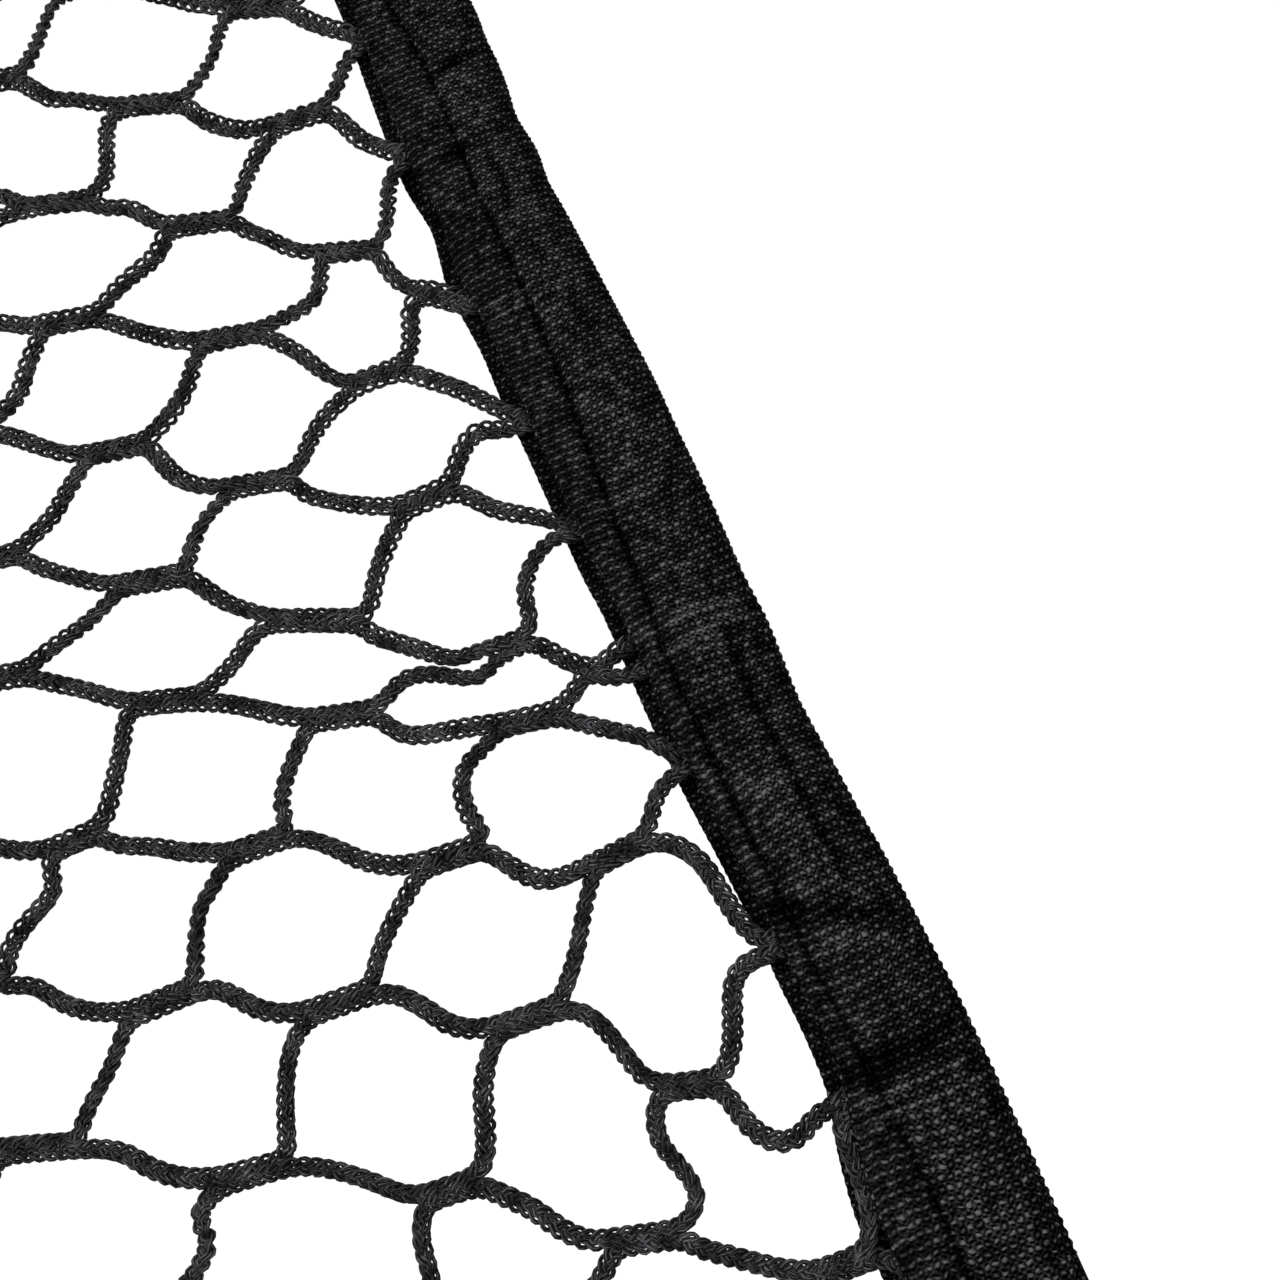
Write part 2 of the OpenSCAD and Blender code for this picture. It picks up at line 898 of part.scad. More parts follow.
upper_frame_bow();
lower_frame_bow();
rubber_foot(-1, frame_y);  // frame_foot_left
rubber_foot(1, frame_y);  // frame_foot_right
saddle_spacers();
pivot_bolts();
pivot_nuts();
clamp_bolts();
clamp_washers();
clamp_knob(-1);  // clamp_knob_left
clamp_knob(1);  // clamp_knob_right
stand_leg(-1);  // stand_leg_left
stand_leg(1);  // stand_leg_right
stand_foot_bow();
sector_plate(-1);  // sector_plate_left
sector_plate(1);  // sector_plate_right
plate_rivets();
leg_cap(-1);  // leg_cap_left
leg_cap(1);  // leg_cap_right
rubber_foot(-1, frame_y + spread);  // stand_foot_left
rubber_foot(1, frame_y + spread);  // stand_foot_right
in_frame_joint(-1) snap_button();  // frame_snap_button_left
in_frame_joint(1) snap_button();  // frame_snap_button_right
in_leg_joint(-1) snap_button();  // leg_snap_button_left
in_leg_joint(1) snap_button();  // leg_snap_button_right
in_frame_joint(-1) snap_leaf();  // frame_snap_spring_left
in_frame_joint(1) snap_leaf();  // frame_snap_spring_right
in_leg_joint(-1) snap_leaf();  // leg_snap_spring_left
in_leg_joint(1) snap_leaf();  // leg_snap_spring_right
net_mesh();
net_border(0);  // net_border_right
net_border(1);  // net_border_top
net_border(2);  // net_border_left
net_border(3);  // net_border_bottom
ring_tabs();
wire_rings();
tie_cord(0);  // tie_cord_right
tie_cord(1);  // tie_cord_top_right
tie_cord(2);  // tie_cord_top
tie_cord(3);  // tie_cord_top_left
tie_cord(4);  // tie_cord_left
tie_cord(5);  // tie_cord_bottom_left
tie_cord(6);  // tie_cord_bottom
tie_cord(7);  // tie_cord_bottom_right
tie_balls();
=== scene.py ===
"""Looks of the pitch back rebounder: a folding tube frame with a knotless net
that hangs in it on eight elastic ties, inside a border of folded webbing.
Metres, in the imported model's own frame. Lengths that end in _MM are millimetres."""
import math

import bpy
import numpy as np
from mathutils import Matrix, Vector


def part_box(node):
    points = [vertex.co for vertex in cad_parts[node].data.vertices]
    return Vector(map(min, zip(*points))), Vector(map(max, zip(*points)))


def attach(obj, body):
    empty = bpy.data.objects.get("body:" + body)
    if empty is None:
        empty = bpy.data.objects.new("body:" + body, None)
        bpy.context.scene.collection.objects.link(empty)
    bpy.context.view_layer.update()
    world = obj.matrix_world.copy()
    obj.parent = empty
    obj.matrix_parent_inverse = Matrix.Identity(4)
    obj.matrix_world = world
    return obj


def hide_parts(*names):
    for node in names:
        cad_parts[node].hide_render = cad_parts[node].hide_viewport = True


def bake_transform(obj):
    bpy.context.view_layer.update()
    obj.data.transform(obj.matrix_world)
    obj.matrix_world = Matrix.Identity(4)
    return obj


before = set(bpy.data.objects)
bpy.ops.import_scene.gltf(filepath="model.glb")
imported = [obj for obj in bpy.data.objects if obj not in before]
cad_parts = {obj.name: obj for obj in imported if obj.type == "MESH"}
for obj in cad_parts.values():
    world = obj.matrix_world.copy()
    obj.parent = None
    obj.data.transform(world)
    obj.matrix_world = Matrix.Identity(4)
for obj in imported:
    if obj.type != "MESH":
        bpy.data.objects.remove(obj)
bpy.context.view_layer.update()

MM = 0.001
SEED = 20

# ------------------------------------------------------------ the net's plane

LEAN = math.radians(20)  # backward lean of the net
ACROSS = np.array([1.0, 0.0, 0.0])
UP = np.array([0.0, math.sin(LEAN), math.cos(LEAN)])
BACK = np.array([0.0, math.cos(LEAN), -math.sin(LEAN)])
CENTRE = sum(np.array(corner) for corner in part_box("net_mesh")) / 2
TUBE_HALF = 621  # mm from the net's centre to a side tube's axis
BEND_MM = 90  # radius of the frame's corner bends
NET_HALF = 430  # mm from the centre to the border's fold


def in_plane(points):
    """Points given in millimetres as (right, up the slope, out of the back)."""
    points = np.asarray(points, float) * MM
    return CENTRE + points @ np.array([ACROSS, UP, BACK])


def turned(points, step):
    """Points given as (outwards, along the border, out of the back) for the place
    that is step eighths of a turn round from the right-hand side."""
    a = math.radians(45 * step)
    points = np.asarray(points, float)
    right = points[..., 0] * math.cos(a) - points[..., 1] * math.sin(a)
    up = points[..., 0] * math.sin(a) + points[..., 1] * math.cos(a)
    return in_plane(np.stack([right, up, points[..., 2]], -1))


def net_reach(step):
    return NET_HALF * (math.sqrt(2) if step % 2 else 1)


def tube_reach(step):
    return (TUBE_HALF - BEND_MM) * math.sqrt(2) + BEND_MM if step % 2 else TUBE_HALF


# ------------------------------------------------------------------ camera

AIM_MM = (406.6, 185.0)  # what it looks at: right of and above the centre
DISTANCE = 0.3212
ROLL = math.radians(24.3)
HALF_FIELD = math.radians(20.59)
SENSOR = 36
VIEW_PX = 1280  # the view's width and height
FOCAL_PX = VIEW_PX / 2 / math.tan(HALF_FIELD)

EYE_RIGHT = np.array([math.cos(ROLL), 0.0, -math.sin(ROLL)])
EYE_UP = np.array([math.sin(ROLL), 0.0, math.cos(ROLL)])
FORWARD = np.array([0.0, 1.0, 0.0])
EYE = in_plane((*AIM_MM, 0)) - FORWARD * DISTANCE


def put_in(name, data):
    """An object with this data, linked into the scene."""
    made = bpy.data.objects.new(name, data)
    bpy.context.scene.collection.objects.link(made)
    return made


def make_camera():
    data = bpy.data.cameras.new("camera")
    data.sensor_width = SENSOR
    data.lens = SENSOR / 2 / math.tan(HALF_FIELD)
    data.clip_start, data.clip_end = 0.01, 100
    camera = put_in("camera", data)
    axes = Matrix([EYE_RIGHT, EYE_UP, -FORWARD]).transposed()
    camera.matrix_world = Matrix.Translation(EYE) @ axes.to_4x4()
    bpy.context.scene.camera = camera


def on_net(px):
    """Where the net's plane is seen at pixels (x, y), as millimetres right and up."""
    px = np.asarray(px, float)
    x, y = px[..., 0:1] - VIEW_PX / 2, VIEW_PX / 2 - px[..., 1:2]
    ray = FORWARD + EYE_RIGHT * x / FOCAL_PX + EYE_UP * y / FOCAL_PX
    far = (CENTRE - EYE) @ BACK / (ray @ BACK)
    at = EYE + ray * far[..., None] - CENTRE
    return np.stack([at @ ACROSS, at @ UP], -1) / MM


def seen_at(points):
    """The pixels at which points in the net's plane, in millimetres, are seen."""
    rays = in_plane(points) - EYE
    depth = rays @ FORWARD
    x = VIEW_PX / 2 + FOCAL_PX * (rays @ EYE_RIGHT) / depth
    y = VIEW_PX / 2 - FOCAL_PX * (rays @ EYE_UP) / depth
    return np.stack([x, y], -1)


make_camera()

# ------------------------------------------------------------------- meshes


FINEST_MM = 0.25  # step of a route while it is rounded


def lengths(line):
    """Length along a line up to each of its points."""
    return np.concatenate([[0], np.cumsum(np.linalg.norm(np.diff(line, axis=0), axis=1))])


def at_lengths(line, at):
    """The points at these lengths along a line."""
    along = lengths(line)
    return np.stack([np.interp(at, along, one) for one in line.T], -1)


def smooth_steps(line, soft, step):
    """A route through points, rounded over about soft and cut into steps. All in mm."""
    line = np.asarray(line, float)
    fine = min(FINEST_MM, step)
    line = at_lengths(line, np.arange(0, lengths(line)[-1] + fine, fine))
    half = int(3 * soft / fine)
    weight = np.exp(-0.5 * (np.arange(-half, half + 1) * fine / soft) ** 2)
    weight /= weight.sum()
    line = np.concatenate([2 * line[0] - line[half:0:-1], line, 2 * line[-1] - line[-2:-half - 2:-1]])
    line = np.stack([np.convolve(one, weight, "valid") for one in line.T], -1)
    whole = lengths(line)[-1]
    at = np.linspace(0, whole, max(3, round(whole / step) + 1))
    return at_lengths(line, at), at


def unit(v):
    return v / np.linalg.norm(v, axis=-1, keepdims=True)


def rings_on(line, radius, sides, front):
    """Rings round a line: radius may be one number or (rings, sides); front is the
    direction that the first side of a ring turns towards."""
    tangent = unit(np.gradient(line, axis=0))
    front = np.broadcast_to(front, line.shape)
    rise = unit(front - (front * tangent).sum(-1, keepdims=True) * tangent)
    side = np.cross(rise, tangent)
    turn = np.arange(sides) * 2 * math.pi / sides
    radius = np.broadcast_to(radius, (len(line), sides))[..., None]
    return line[:, None] + radius * (
        np.cos(turn)[:, None] * side[:, None] + np.sin(turn)[:, None] * rise[:, None]
    )


def loft_mesh(name, lofts):
    """One mesh of closed lofts. A loft is (rings, lay, joined): rings[r, s] are its
    points in metres, lay[r, s] the pattern's place in millimetres, one row longer if
    the last ring joins the first, and one column longer for the way round. A fourth
    entry is painted light and shade for the points, kept as a point attribute."""
    points, faces, lays, painted_lights, first = [], [], [], [], 0
    for rings, lay, joined, *painted_light in lofts:
        count, sides = rings.shape[:2]
        r, s = np.meshgrid(np.arange(count - (not joined)), np.arange(sides), indexing="ij")
        across, ahead = (s + 1) % sides, (r + 1) % count
        quads = np.stack([r * sides + s, r * sides + across, ahead * sides + across,
                          ahead * sides + s], -1).reshape(-1, 4) + first
        faces += quads.tolist()
        lays.append(np.stack([lay[r, s], lay[r, s + 1], lay[r + 1, s + 1], lay[r + 1, s]],
                             -2).reshape(-1, 2))
        if not joined:
            faces.append([first + k for k in reversed(range(sides))])
            faces.append([first + (count - 1) * sides + k for k in range(sides)])
            lays.append(np.concatenate([lay[0, :sides][::-1], lay[-1, :sides]]))
        points.append(rings.reshape(-1, 3))
        painted_lights += [painted_brightness.ravel() for painted_brightness in painted_light]
        first += count * sides
    mesh = bpy.data.meshes.new(name)
    mesh.from_pydata(np.concatenate(points).tolist(), [], faces)
    layer = mesh.uv_layers.new(name="lay")
    layer.uv.foreach_set("vector", np.concatenate(lays).astype(np.float32).ravel())
    # painted light and shade, kept as a point attribute that the webbing's colour reads
    if painted_lights:
        stored = mesh.attributes.new("painted_light", "FLOAT", "POINT")
        stored.data.foreach_set("value", np.concatenate(painted_lights).astype(np.float32))
    mesh.shade_smooth()
    return put_in(name, mesh)


def finish_piece(piece, material, body):
    piece.data.materials.clear()
    piece.data.materials.append(material)
    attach(piece, body)


# ---------------------------------------------------------------- materials


def colour(code):
    """Linear colour of an sRGB hex value such as 1b1c1e."""
    parts = [int(code[i:i + 2], 16) / 255 for i in (0, 2, 4)]
    return (*[c / 12.92 if c <= 0.04045 else ((c + 0.055) / 1.055) ** 2.4 for c in parts], 1)


def fresh_tree(owner):
    """The empty node tree of a material or a world."""
    owner.use_nodes = True
    owner.node_tree.nodes.clear()
    return owner.node_tree


def feed(tree, node, inputs):
    """Sets a node's inputs. Each takes a plain value or what another node gives."""
    for key, given in inputs.items():
        given = getattr(given, "socket", given)
        if isinstance(given, bpy.types.NodeSocket):
            tree.links.new(given, node.inputs[key])
        else:
            node.inputs[key].default_value = given


def add(tree, kind, inputs=None, **settings):
    """A node with its settings."""
    made = tree.nodes.new(kind)
    for name, value in settings.items():
        setattr(made, name, value)
    feed(tree, made, inputs or {})
    return made


class Value:
    """What a node gives. A sum of values is written as a sum, and adds its own nodes."""

    def __init__(self, tree, socket):
        self.tree, self.socket = tree, socket

    def maths(self, operation, *others):
        made = add(self.tree, "ShaderNodeMath", dict(enumerate((self, *others))), operation=operation)
        return Value(self.tree, made.outputs[0])

    def __add__(self, other):
        return self.maths("ADD", other)

    def __sub__(self, other):
        return self.maths("SUBTRACT", other)

    def __mul__(self, other):
        return self.maths("MULTIPLY", other)

    def __truediv__(self, other):
        return self.maths("DIVIDE", other)

    def __rsub__(self, other):
        return self * -1.0 + other

    __radd__, __rmul__ = __add__, __mul__

    def clip(self, least, most):
        return self.maths("MAXIMUM", least).maths("MINIMUM", most)

    def waves(self, pitch):
        return (self * (2 * math.pi / pitch)).maths("COSINE")


class Surface:
    """A material in the making, with its node tree and its shader."""

    def __init__(self, name, **inputs):
        self.material = bpy.data.materials.new(name)
        self.tree = fresh_tree(self.material)
        named = {key.replace("_", " "): value for key, value in inputs.items()}
        self.shader = add(self.tree, "ShaderNodeBsdfPrincipled", named)
        add(self.tree, "ShaderNodeOutputMaterial", {"Surface": self.shader.outputs[0]})

    def value(self, kind, output=0, inputs=None, **settings):
        return Value(self.tree, add(self.tree, kind, inputs, **settings).outputs[output])

    def mottle(self, scale, detail=3.0, stretch=(1, 1, 1)):
        """Soft clouds in the object's own place; scale is in waves per metre."""
        place = self.value("ShaderNodeTexCoord", "Object")
        drawn = self.value("ShaderNodeMapping", 0, {"Vector": place, "Scale": stretch})
        return self.value("ShaderNodeTexNoise", "Fac", {"Vector": drawn, "Scale": scale, "Detail": detail})

    def finish(self, shade, stops, height, rise_mm, roughness=None, strength=0.8):
        """Gives the shader its colours, which are stops (place, hex) along shade, its relief
        and, where that varies, its roughness (factor, from, to). Returns the material."""
        ramp = add(self.tree, "ShaderNodeValToRGB", {"Fac": shade})
        elements = ramp.color_ramp.elements
        elements[0].position, elements[-1].position = stops[0][0], stops[-1][0]
        for place, _ in stops[1:-1]:
            elements.new(place)
        for element, (_, code) in zip(elements, stops):
            element.color = colour(code)
        bump = add(self.tree, "ShaderNodeBump", {"Strength": strength, "Distance": rise_mm * MM,
                                                 "Height": height})
        feed(self.tree, self.shader, {"Base Color": ramp.outputs["Color"], "Normal": bump.outputs[0]})
        if roughness:
            factor, low, high = roughness
            feed(self.tree, self.shader, {"Roughness": factor * (high - low) + low})
        return self.material


FLOAT_MM, PICK_MM = 1.22, 1.73  # the border's weave: pitch of its floats, and of their rows
RIB_EDGE, RIB_FALL, RIB_LEAST = 0.65, -0.035, 0.2  # how much of a row's height lies between its floats
# How the weave wavers: how far in mm, and the waves' lengths over 2 pi across and along
ROW_WAVES = ((0.45, 4.3, 19), (0.3, -6.1, 7.3))
COLUMN_WAVE = (0.16, 5, 3.1)
# And how each float strays: how far, its waves per mm over 2 pi across, and their own sway along
STRAY_MM, STRAY_WAVES, STRAY_SWAY, STRAY_ALONG_MM = 0.14, 2.3, 1.7, 5.3


def wavered(across, along):
    """The weave's own place at a place on the webbing: its rows waver a little."""
    def wave(height, wide, long):
        return height * np.sin(across / wide + along / long)

    stray = STRAY_MM * np.sin(across * STRAY_WAVES + STRAY_SWAY * np.sin(along / STRAY_ALONG_MM))
    return across + wave(*COLUMN_WAVE), along + wave(*ROW_WAVES[0]) + wave(*ROW_WAVES[1]) + stray


def weave(across, along):
    """Height of the weave from 0 to 1: rows of floats, each row shifted by half a float."""
    odd = np.round(along / PICK_MM) % 2
    row = np.cos(math.pi * along / PICK_MM) ** 2
    crown = np.cos(math.pi * (across / FLOAT_MM - odd / 2)) ** 2
    rib = np.maximum(RIB_EDGE + RIB_FALL * across, RIB_LEAST)
    return row ** 0.8 * (rib + (1 - rib) * crown)


def polypropylene_webbing():
    # Woven polypropylene webbing: rows of short black floats, each row shifted by half a
    # float, with small furrows round every float. Its colour follows the weave's height, which
    # paints a highlight on every float and shade in the furrows; and it takes painted light
    # and shade from a point attribute: lighter where the front swells, darker in creases and
    # in the fold's mouth
    made = Surface("woven_polypropylene", Roughness=0.55, Specular_IOR_Level=0.004)
    lay = made.value("ShaderNodeUVMap", uv_map="lay")
    wobble = made.value("ShaderNodeTexNoise", "Color", {"Vector": lay, "Scale": 0.8, "Detail": 1.5})
    moved = made.value("ShaderNodeVectorMath", 0, {0: wobble, 1: lay})
    across, along = [made.value("ShaderNodeSeparateXYZ", k, {0: moved}) - 0.5 for k in (0, 1)]
    rib = (RIB_FALL * across + RIB_EDGE).maths("MAXIMUM", RIB_LEAST)
    share = (1.0 - rib) / (1 - RIB_LEAST)
    rows = 0.15 * along.waves(PICK_MM) + 0.11 * along.waves(PICK_MM / 2) + 0.33
    turns = 0.14 * along.waves(2 * PICK_MM) + 0.27 * along.waves(2 * PICK_MM / 3)
    height = across.waves(FLOAT_MM) * share * turns + rows
    number = (along / PICK_MM).maths("ROUND")
    place = across / FLOAT_MM - number.maths("FLOORED_MODULO", 2.0) / 2.0
    cell = made.value("ShaderNodeCombineXYZ", 0, {0: place.maths("ROUND"), 1: number})
    chance = made.value("ShaderNodeTexWhiteNoise", "Value", {"Vector": cell}, noise_dimensions="2D")
    fine = made.value("ShaderNodeMapping", 0, {"Vector": lay, "Scale": (2.0, 2.8, 1.0)})
    grain = made.value("ShaderNodeTexNoise", "Fac", {"Vector": fine, "Scale": 1.0, "Detail": 2.5,
                                                     "Roughness": 0.65})
    patches = made.value("ShaderNodeTexNoise", "Fac", {"Vector": lay, "Scale": 0.13, "Detail": 2.0})
    # painted light and shade from the points: brighter where the front swells, darker in creases and in the
    # fold's mouth
    painted_brightness = (0.35 * made.value("ShaderNodeAttribute", "Fac", attribute_name="painted_light") + 0.83).clip(0.3, 2.0)
    # painted highlights on the floats' crowns and painted shade in the furrows: the colour is the weave's
    # height times its grain
    shade = height * (2.2 * grain - 0.1) * (0.8 * chance + 0.6) * (0.8 * patches + 0.6) * painted_brightness
    stops = [(0.1, "000000"), (0.17, "070707"), (0.28, "141414"), (0.41, "252526"), (0.65, "444446"),
             (1.0, "626265")]
    return made.finish(shade, stops, 0.8 * grain + height, 0.2, strength=0.9)


def net_cord_yarn(plaited):
    # Knitted polyethylene net cord: matt black filaments that lie along each strand.
    # Where the strands aren't modelled one by one, their chevrons are in the relief. The colour
    # follows the relief as well: painted light on the raised yarn lines and chevrons, painted
    # shade between them, over the yarn's own random tone
    made = Surface("net_cord_strands" if plaited else "net_cord_knitted",
                   Roughness=0.4, Specular_IOR_Level=0.04)
    lay = made.value("ShaderNodeUVMap", uv_map="lay")
    along, around = [made.value("ShaderNodeSeparateXYZ", k, {0: lay}) for k in (0, 1)]
    drawn = made.value("ShaderNodeMapping", 0, {"Vector": lay, "Scale": (1.1, 7.0, 1.0)})
    fibres = made.value("ShaderNodeTexNoise", "Fac", {"Vector": drawn, "Scale": 1.0, "Detail": 3.0,
                                                      "Roughness": 0.6})
    shade = (1.6 * fibres - 0.3) * (1.5 * made.mottle(260.0, 2.0) + 0.2)
    if plaited:
        yarns = 0.5 * (1.9 * along + 9.0 * around).maths("SINE") + 0.5
        height, shade = 0.5 * yarns + fibres, shade * (0.6 * yarns + 0.6)
    else:
        chevron = ((along + around.maths("PINGPONG", 2.2)) * math.pi).maths("SINE")
        height, shade = 0.8 * chevron + fibres, shade * (0.3 * chevron + 0.75)
    return made.finish(shade, [(0.1, "030303"), (0.4, "1e1e1f"), (0.8, "68696c")], height, 0.1, strength=0.7)


def powder_coated_steel():
    # Steel tube and plate with a black polyester powder coat: satin, finely pebbled, with
    # duller rubbed places, faint scratches along the tubes, and bare steel on worn edges
    made = Surface("powder_coated_steel", Specular_IOR_Level=0.5)
    rubbed, pebble = made.mottle(28.0, 5.0), made.mottle(850.0, 2.0)
    scratches = made.mottle(30.0, 2.0, (40, 40, 1)).maths("POWER", 9.0)
    round_normal = made.value("ShaderNodeBevel", 0, {"Radius": 1.1 * MM}, samples=6)
    flat_normal = made.value("ShaderNodeNewGeometry", "Normal")
    same = made.value("ShaderNodeVectorMath", "Value", {0: round_normal, 1: flat_normal},
                      operation="DOT_PRODUCT")
    bare = (9.0 * rubbed * (0.97 - same)).clip(0.0, 1.0)
    feed(made.tree, made.shader, {"Metallic": bare})
    tone = 1.6 * scratches + 0.5 * pebble + 1.1 * rubbed - 0.5 + 0.8 * bare
    return made.finish(tone, [(0.0, "0c0d0e"), (0.35, "1b1c1e"), (0.6, "323335"), (1.0, "85868a")],
                       pebble - 2.0 * scratches, 0.16, (rubbed, 0.24, 0.6))


def moulded_rubber():
    # Black EPDM rubber: matt, finely grained, with pale dust on the soles
    made = Surface("moulded_rubber", Specular_IOR_Level=0.35)
    grain, patches = made.mottle(1900.0), made.mottle(60.0, 4.0)
    height = made.value("ShaderNodeSeparateXYZ", 2, {0: made.value("ShaderNodeTexCoord", "Object")})
    sole = (1.0 - 110.0 * height).maths("MAXIMUM", 0.0)
    dust = 1.1 * sole * patches + 1.2 * patches + 0.5 * grain - 0.6
    return made.finish(dust, [(0.0, "090909"), (0.3, "171716"), (0.7, "2e2c29"), (1.0, "4f4c46")],
                       grain, 0.16, (patches, 0.6, 0.9))


def zinc_plated_steel():
    # Bright zinc-plated steel: pale grey with a trace of blue, duller where it is handled
    made = Surface("zinc_plated_steel", Metallic=1.0)
    cloud, fine = made.mottle(170.0, 4.0), made.mottle(2600.0, 2.0)
    return made.finish(cloud, [(0.2, "8b8e94"), (0.5, "a9abaf"), (0.8, "c3c2bd")],
                       fine, 0.015, (cloud, 0.2, 0.5))


def glass_filled_nylon():
    # Glass-filled nylon, black: even spark-eroded grain, greyish where the fibres surface
    made = Surface("glass_filled_nylon", Specular_IOR_Level=0.45)
    grain, flow = made.mottle(1500.0), made.mottle(120.0, 5.0)
    return made.finish(0.7 * grain + 1.4 * flow - 0.55, [(0.2, "0b0b0b"), (0.5, "181818"), (0.8, "303031")],
                       grain, 0.16, (flow, 0.32, 0.62))


TIE_CORD_MM = 2.5  # radius of the elastic cord
BRAID_TURNS, BRAID_WAVE_MM = 8, 2.2  # strands of its sheath each way, and their wave


def elastic_sheath():
    # Elastic shock cord in a braided polyester sheath: small diamonds, softly shiny
    made = Surface("braided_elastic_cord", Specular_IOR_Level=0.25)
    lay = made.value("ShaderNodeUVMap", uv_map="lay")
    along, around = [made.value("ShaderNodeSeparateXYZ", k, {0: lay}) for k in (0, 1)]
    along, around = along * (2 * math.pi / BRAID_WAVE_MM), around * (BRAID_TURNS / TIE_CORD_MM)
    braid = 0.5 * (around + along).maths("SINE") * (around - along).maths("SINE") + 0.5
    fibres = made.mottle(900.0)
    return made.finish(braid * (1.2 * fibres + 0.2), [(0.0, "060606"), (0.5, "19191a"), (1.0, "3b3b3d")],
                       0.3 * fibres + braid, 0.25, (fibres, 0.4, 0.65))


def sewing_thread():
    # Bonded polyester sewing thread, black, with a slight shine along its twist
    made = Surface("sewing_thread", Specular_IOR_Level=0.03)
    twist = made.mottle(2200.0, 2.0)
    return made.finish(twist, [(0.2, "020202"), (0.8, "1a1a1a")], twist, 0.06, (twist, 0.35, 0.6))


def pairs(*names):
    return [f"{name}_{side}" for name in names for side in ("left", "right")]


WEBBING, THREAD, SHEATH = polypropylene_webbing(), sewing_thread(), elastic_sheath()
STRANDS, KNITTED = net_cord_yarn(True), net_cord_yarn(False)
FINISHES = {
    powder_coated_steel(): ["upper_frame_bow", "lower_frame_bow", "stand_foot_bow",
                            *pairs("stand_leg", "sector_plate")],
    moulded_rubber(): pairs("frame_foot", "stand_foot"),
    zinc_plated_steel(): ["pivot_bolts", "pivot_nuts", "clamp_bolts", "clamp_washers", "plate_rivets",
                          "wire_rings", *pairs("frame_snap_button", "leg_snap_button",
                                               "frame_snap_spring", "leg_snap_spring")],
    glass_filled_nylon(): ["saddle_spacers", "tie_balls", *pairs("clamp_knob", "leg_cap")],
}
for finish, nodes in FINISHES.items():
    for node in nodes:
        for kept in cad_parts[node].material_slots:
            kept.material = finish

# ---------------------------------------------------------------- net layout

# The net's lattice: a junction (column, row) has an even sum of column and row. Its
# right end sends one cord up to the junction (column + 1, row + 1) and one down to
# (column + 1, row - 1)
LAST_COLUMN, FIRST_COLUMN = 1, -27
FIRST_ROW, LAST_ROW = -38, 13
COLUMN_MM, ROW_MM = 29.1, 16.16
COLUMN_AT_MM, ROW_AT_MM = 378.4, 201.0  # place of junction (0, 0)
JUNCTION_MM = 13.0
HEM_MM = 415.0  # the net ends here, inside the border
PAIR_MM = 0.75  # half the distance of two cords in a junction

# Junctions as the camera sees them: pixels of the left and of the right end
JUNCTIONS = {
    (-2, 10): ((-40, 84), (20, 77)), (-1, 11): ((68, -9), (136, -14)),
    (0, 10): ((229, 10), (285, 5)), (-1, 9): ((118, 107), (184, 101)),
    (0, 8): ((272, 127), (326, 108)), (-2, 8): ((28, 206), (90, 200)),
    (-1, 7): ((166, 227), (235, 218)), (0, 6): ((318, 254), (378, 249)),
    (1, 5): ((424, 291), (470, 305)), (0, 4): ((352, 384), (403, 367)),
    (-2, 6): ((42, 326), (98, 316)), (-1, 5): ((202, 343), (261, 331)),
    (-2, 4): ((85, 456), (147, 443)), (-1, 3): ((229, 488), (293, 477)),
    (0, 2): ((401, 508), (453, 487)), (-2, 2): ((123, 585), (188, 574)),
    (-1, 1): ((275, 620), (362, 620)), (0, 0): ((473, 657), (529, 638)),
    (1, -1): ((582, 671), (602, 672)), (-3, 3): ((-42, 567), (20, 553)),
    (-3, 1): ((-40, 684), (26, 673)), (-2, 0): ((130, 705), (199, 698)),
    (-1, -1): ((307, 721), (375, 711)), (0, -2): ((500, 727), (558, 714)),
    (-3, -1): ((48, 853), (98, 832)), (-2, -2): ((226, 857), (288, 835)),
    (-1, -3): ((420, 867), (483, 846)), (0, -4): ((592, 867), (648, 838)),
    (-3, -3): ((127, 1016), (195, 989)), (-2, -4): ((308, 1014), (374, 990)),
    (-1, -5): ((497, 1029), (562, 1006)), (0, -6): ((662, 1088), (720, 1082)),
    (-4, -4): ((12, 1150), (80, 1145)), (-3, -5): ((220, 1182), (288, 1163)),
    (-2, -6): ((424, 1199), (479, 1180)), (-1, -7): ((612, 1243), (681, 1233)),
    (0, -8): ((815, 1277), (868, 1256)), (1, 9): ((361, 43), (390, 30)),
    (1, 7): ((402, 157), (432, 144)), (1, 3): ((526, 422), (556, 409)),
    (1, 1): ((570, 531), (600, 518)), (1, -3): ((684, 762), (714, 749)),
    (1, -5): ((768, 949), (798, 936)), (1, -7): ((842, 1106), (872, 1093)),
}
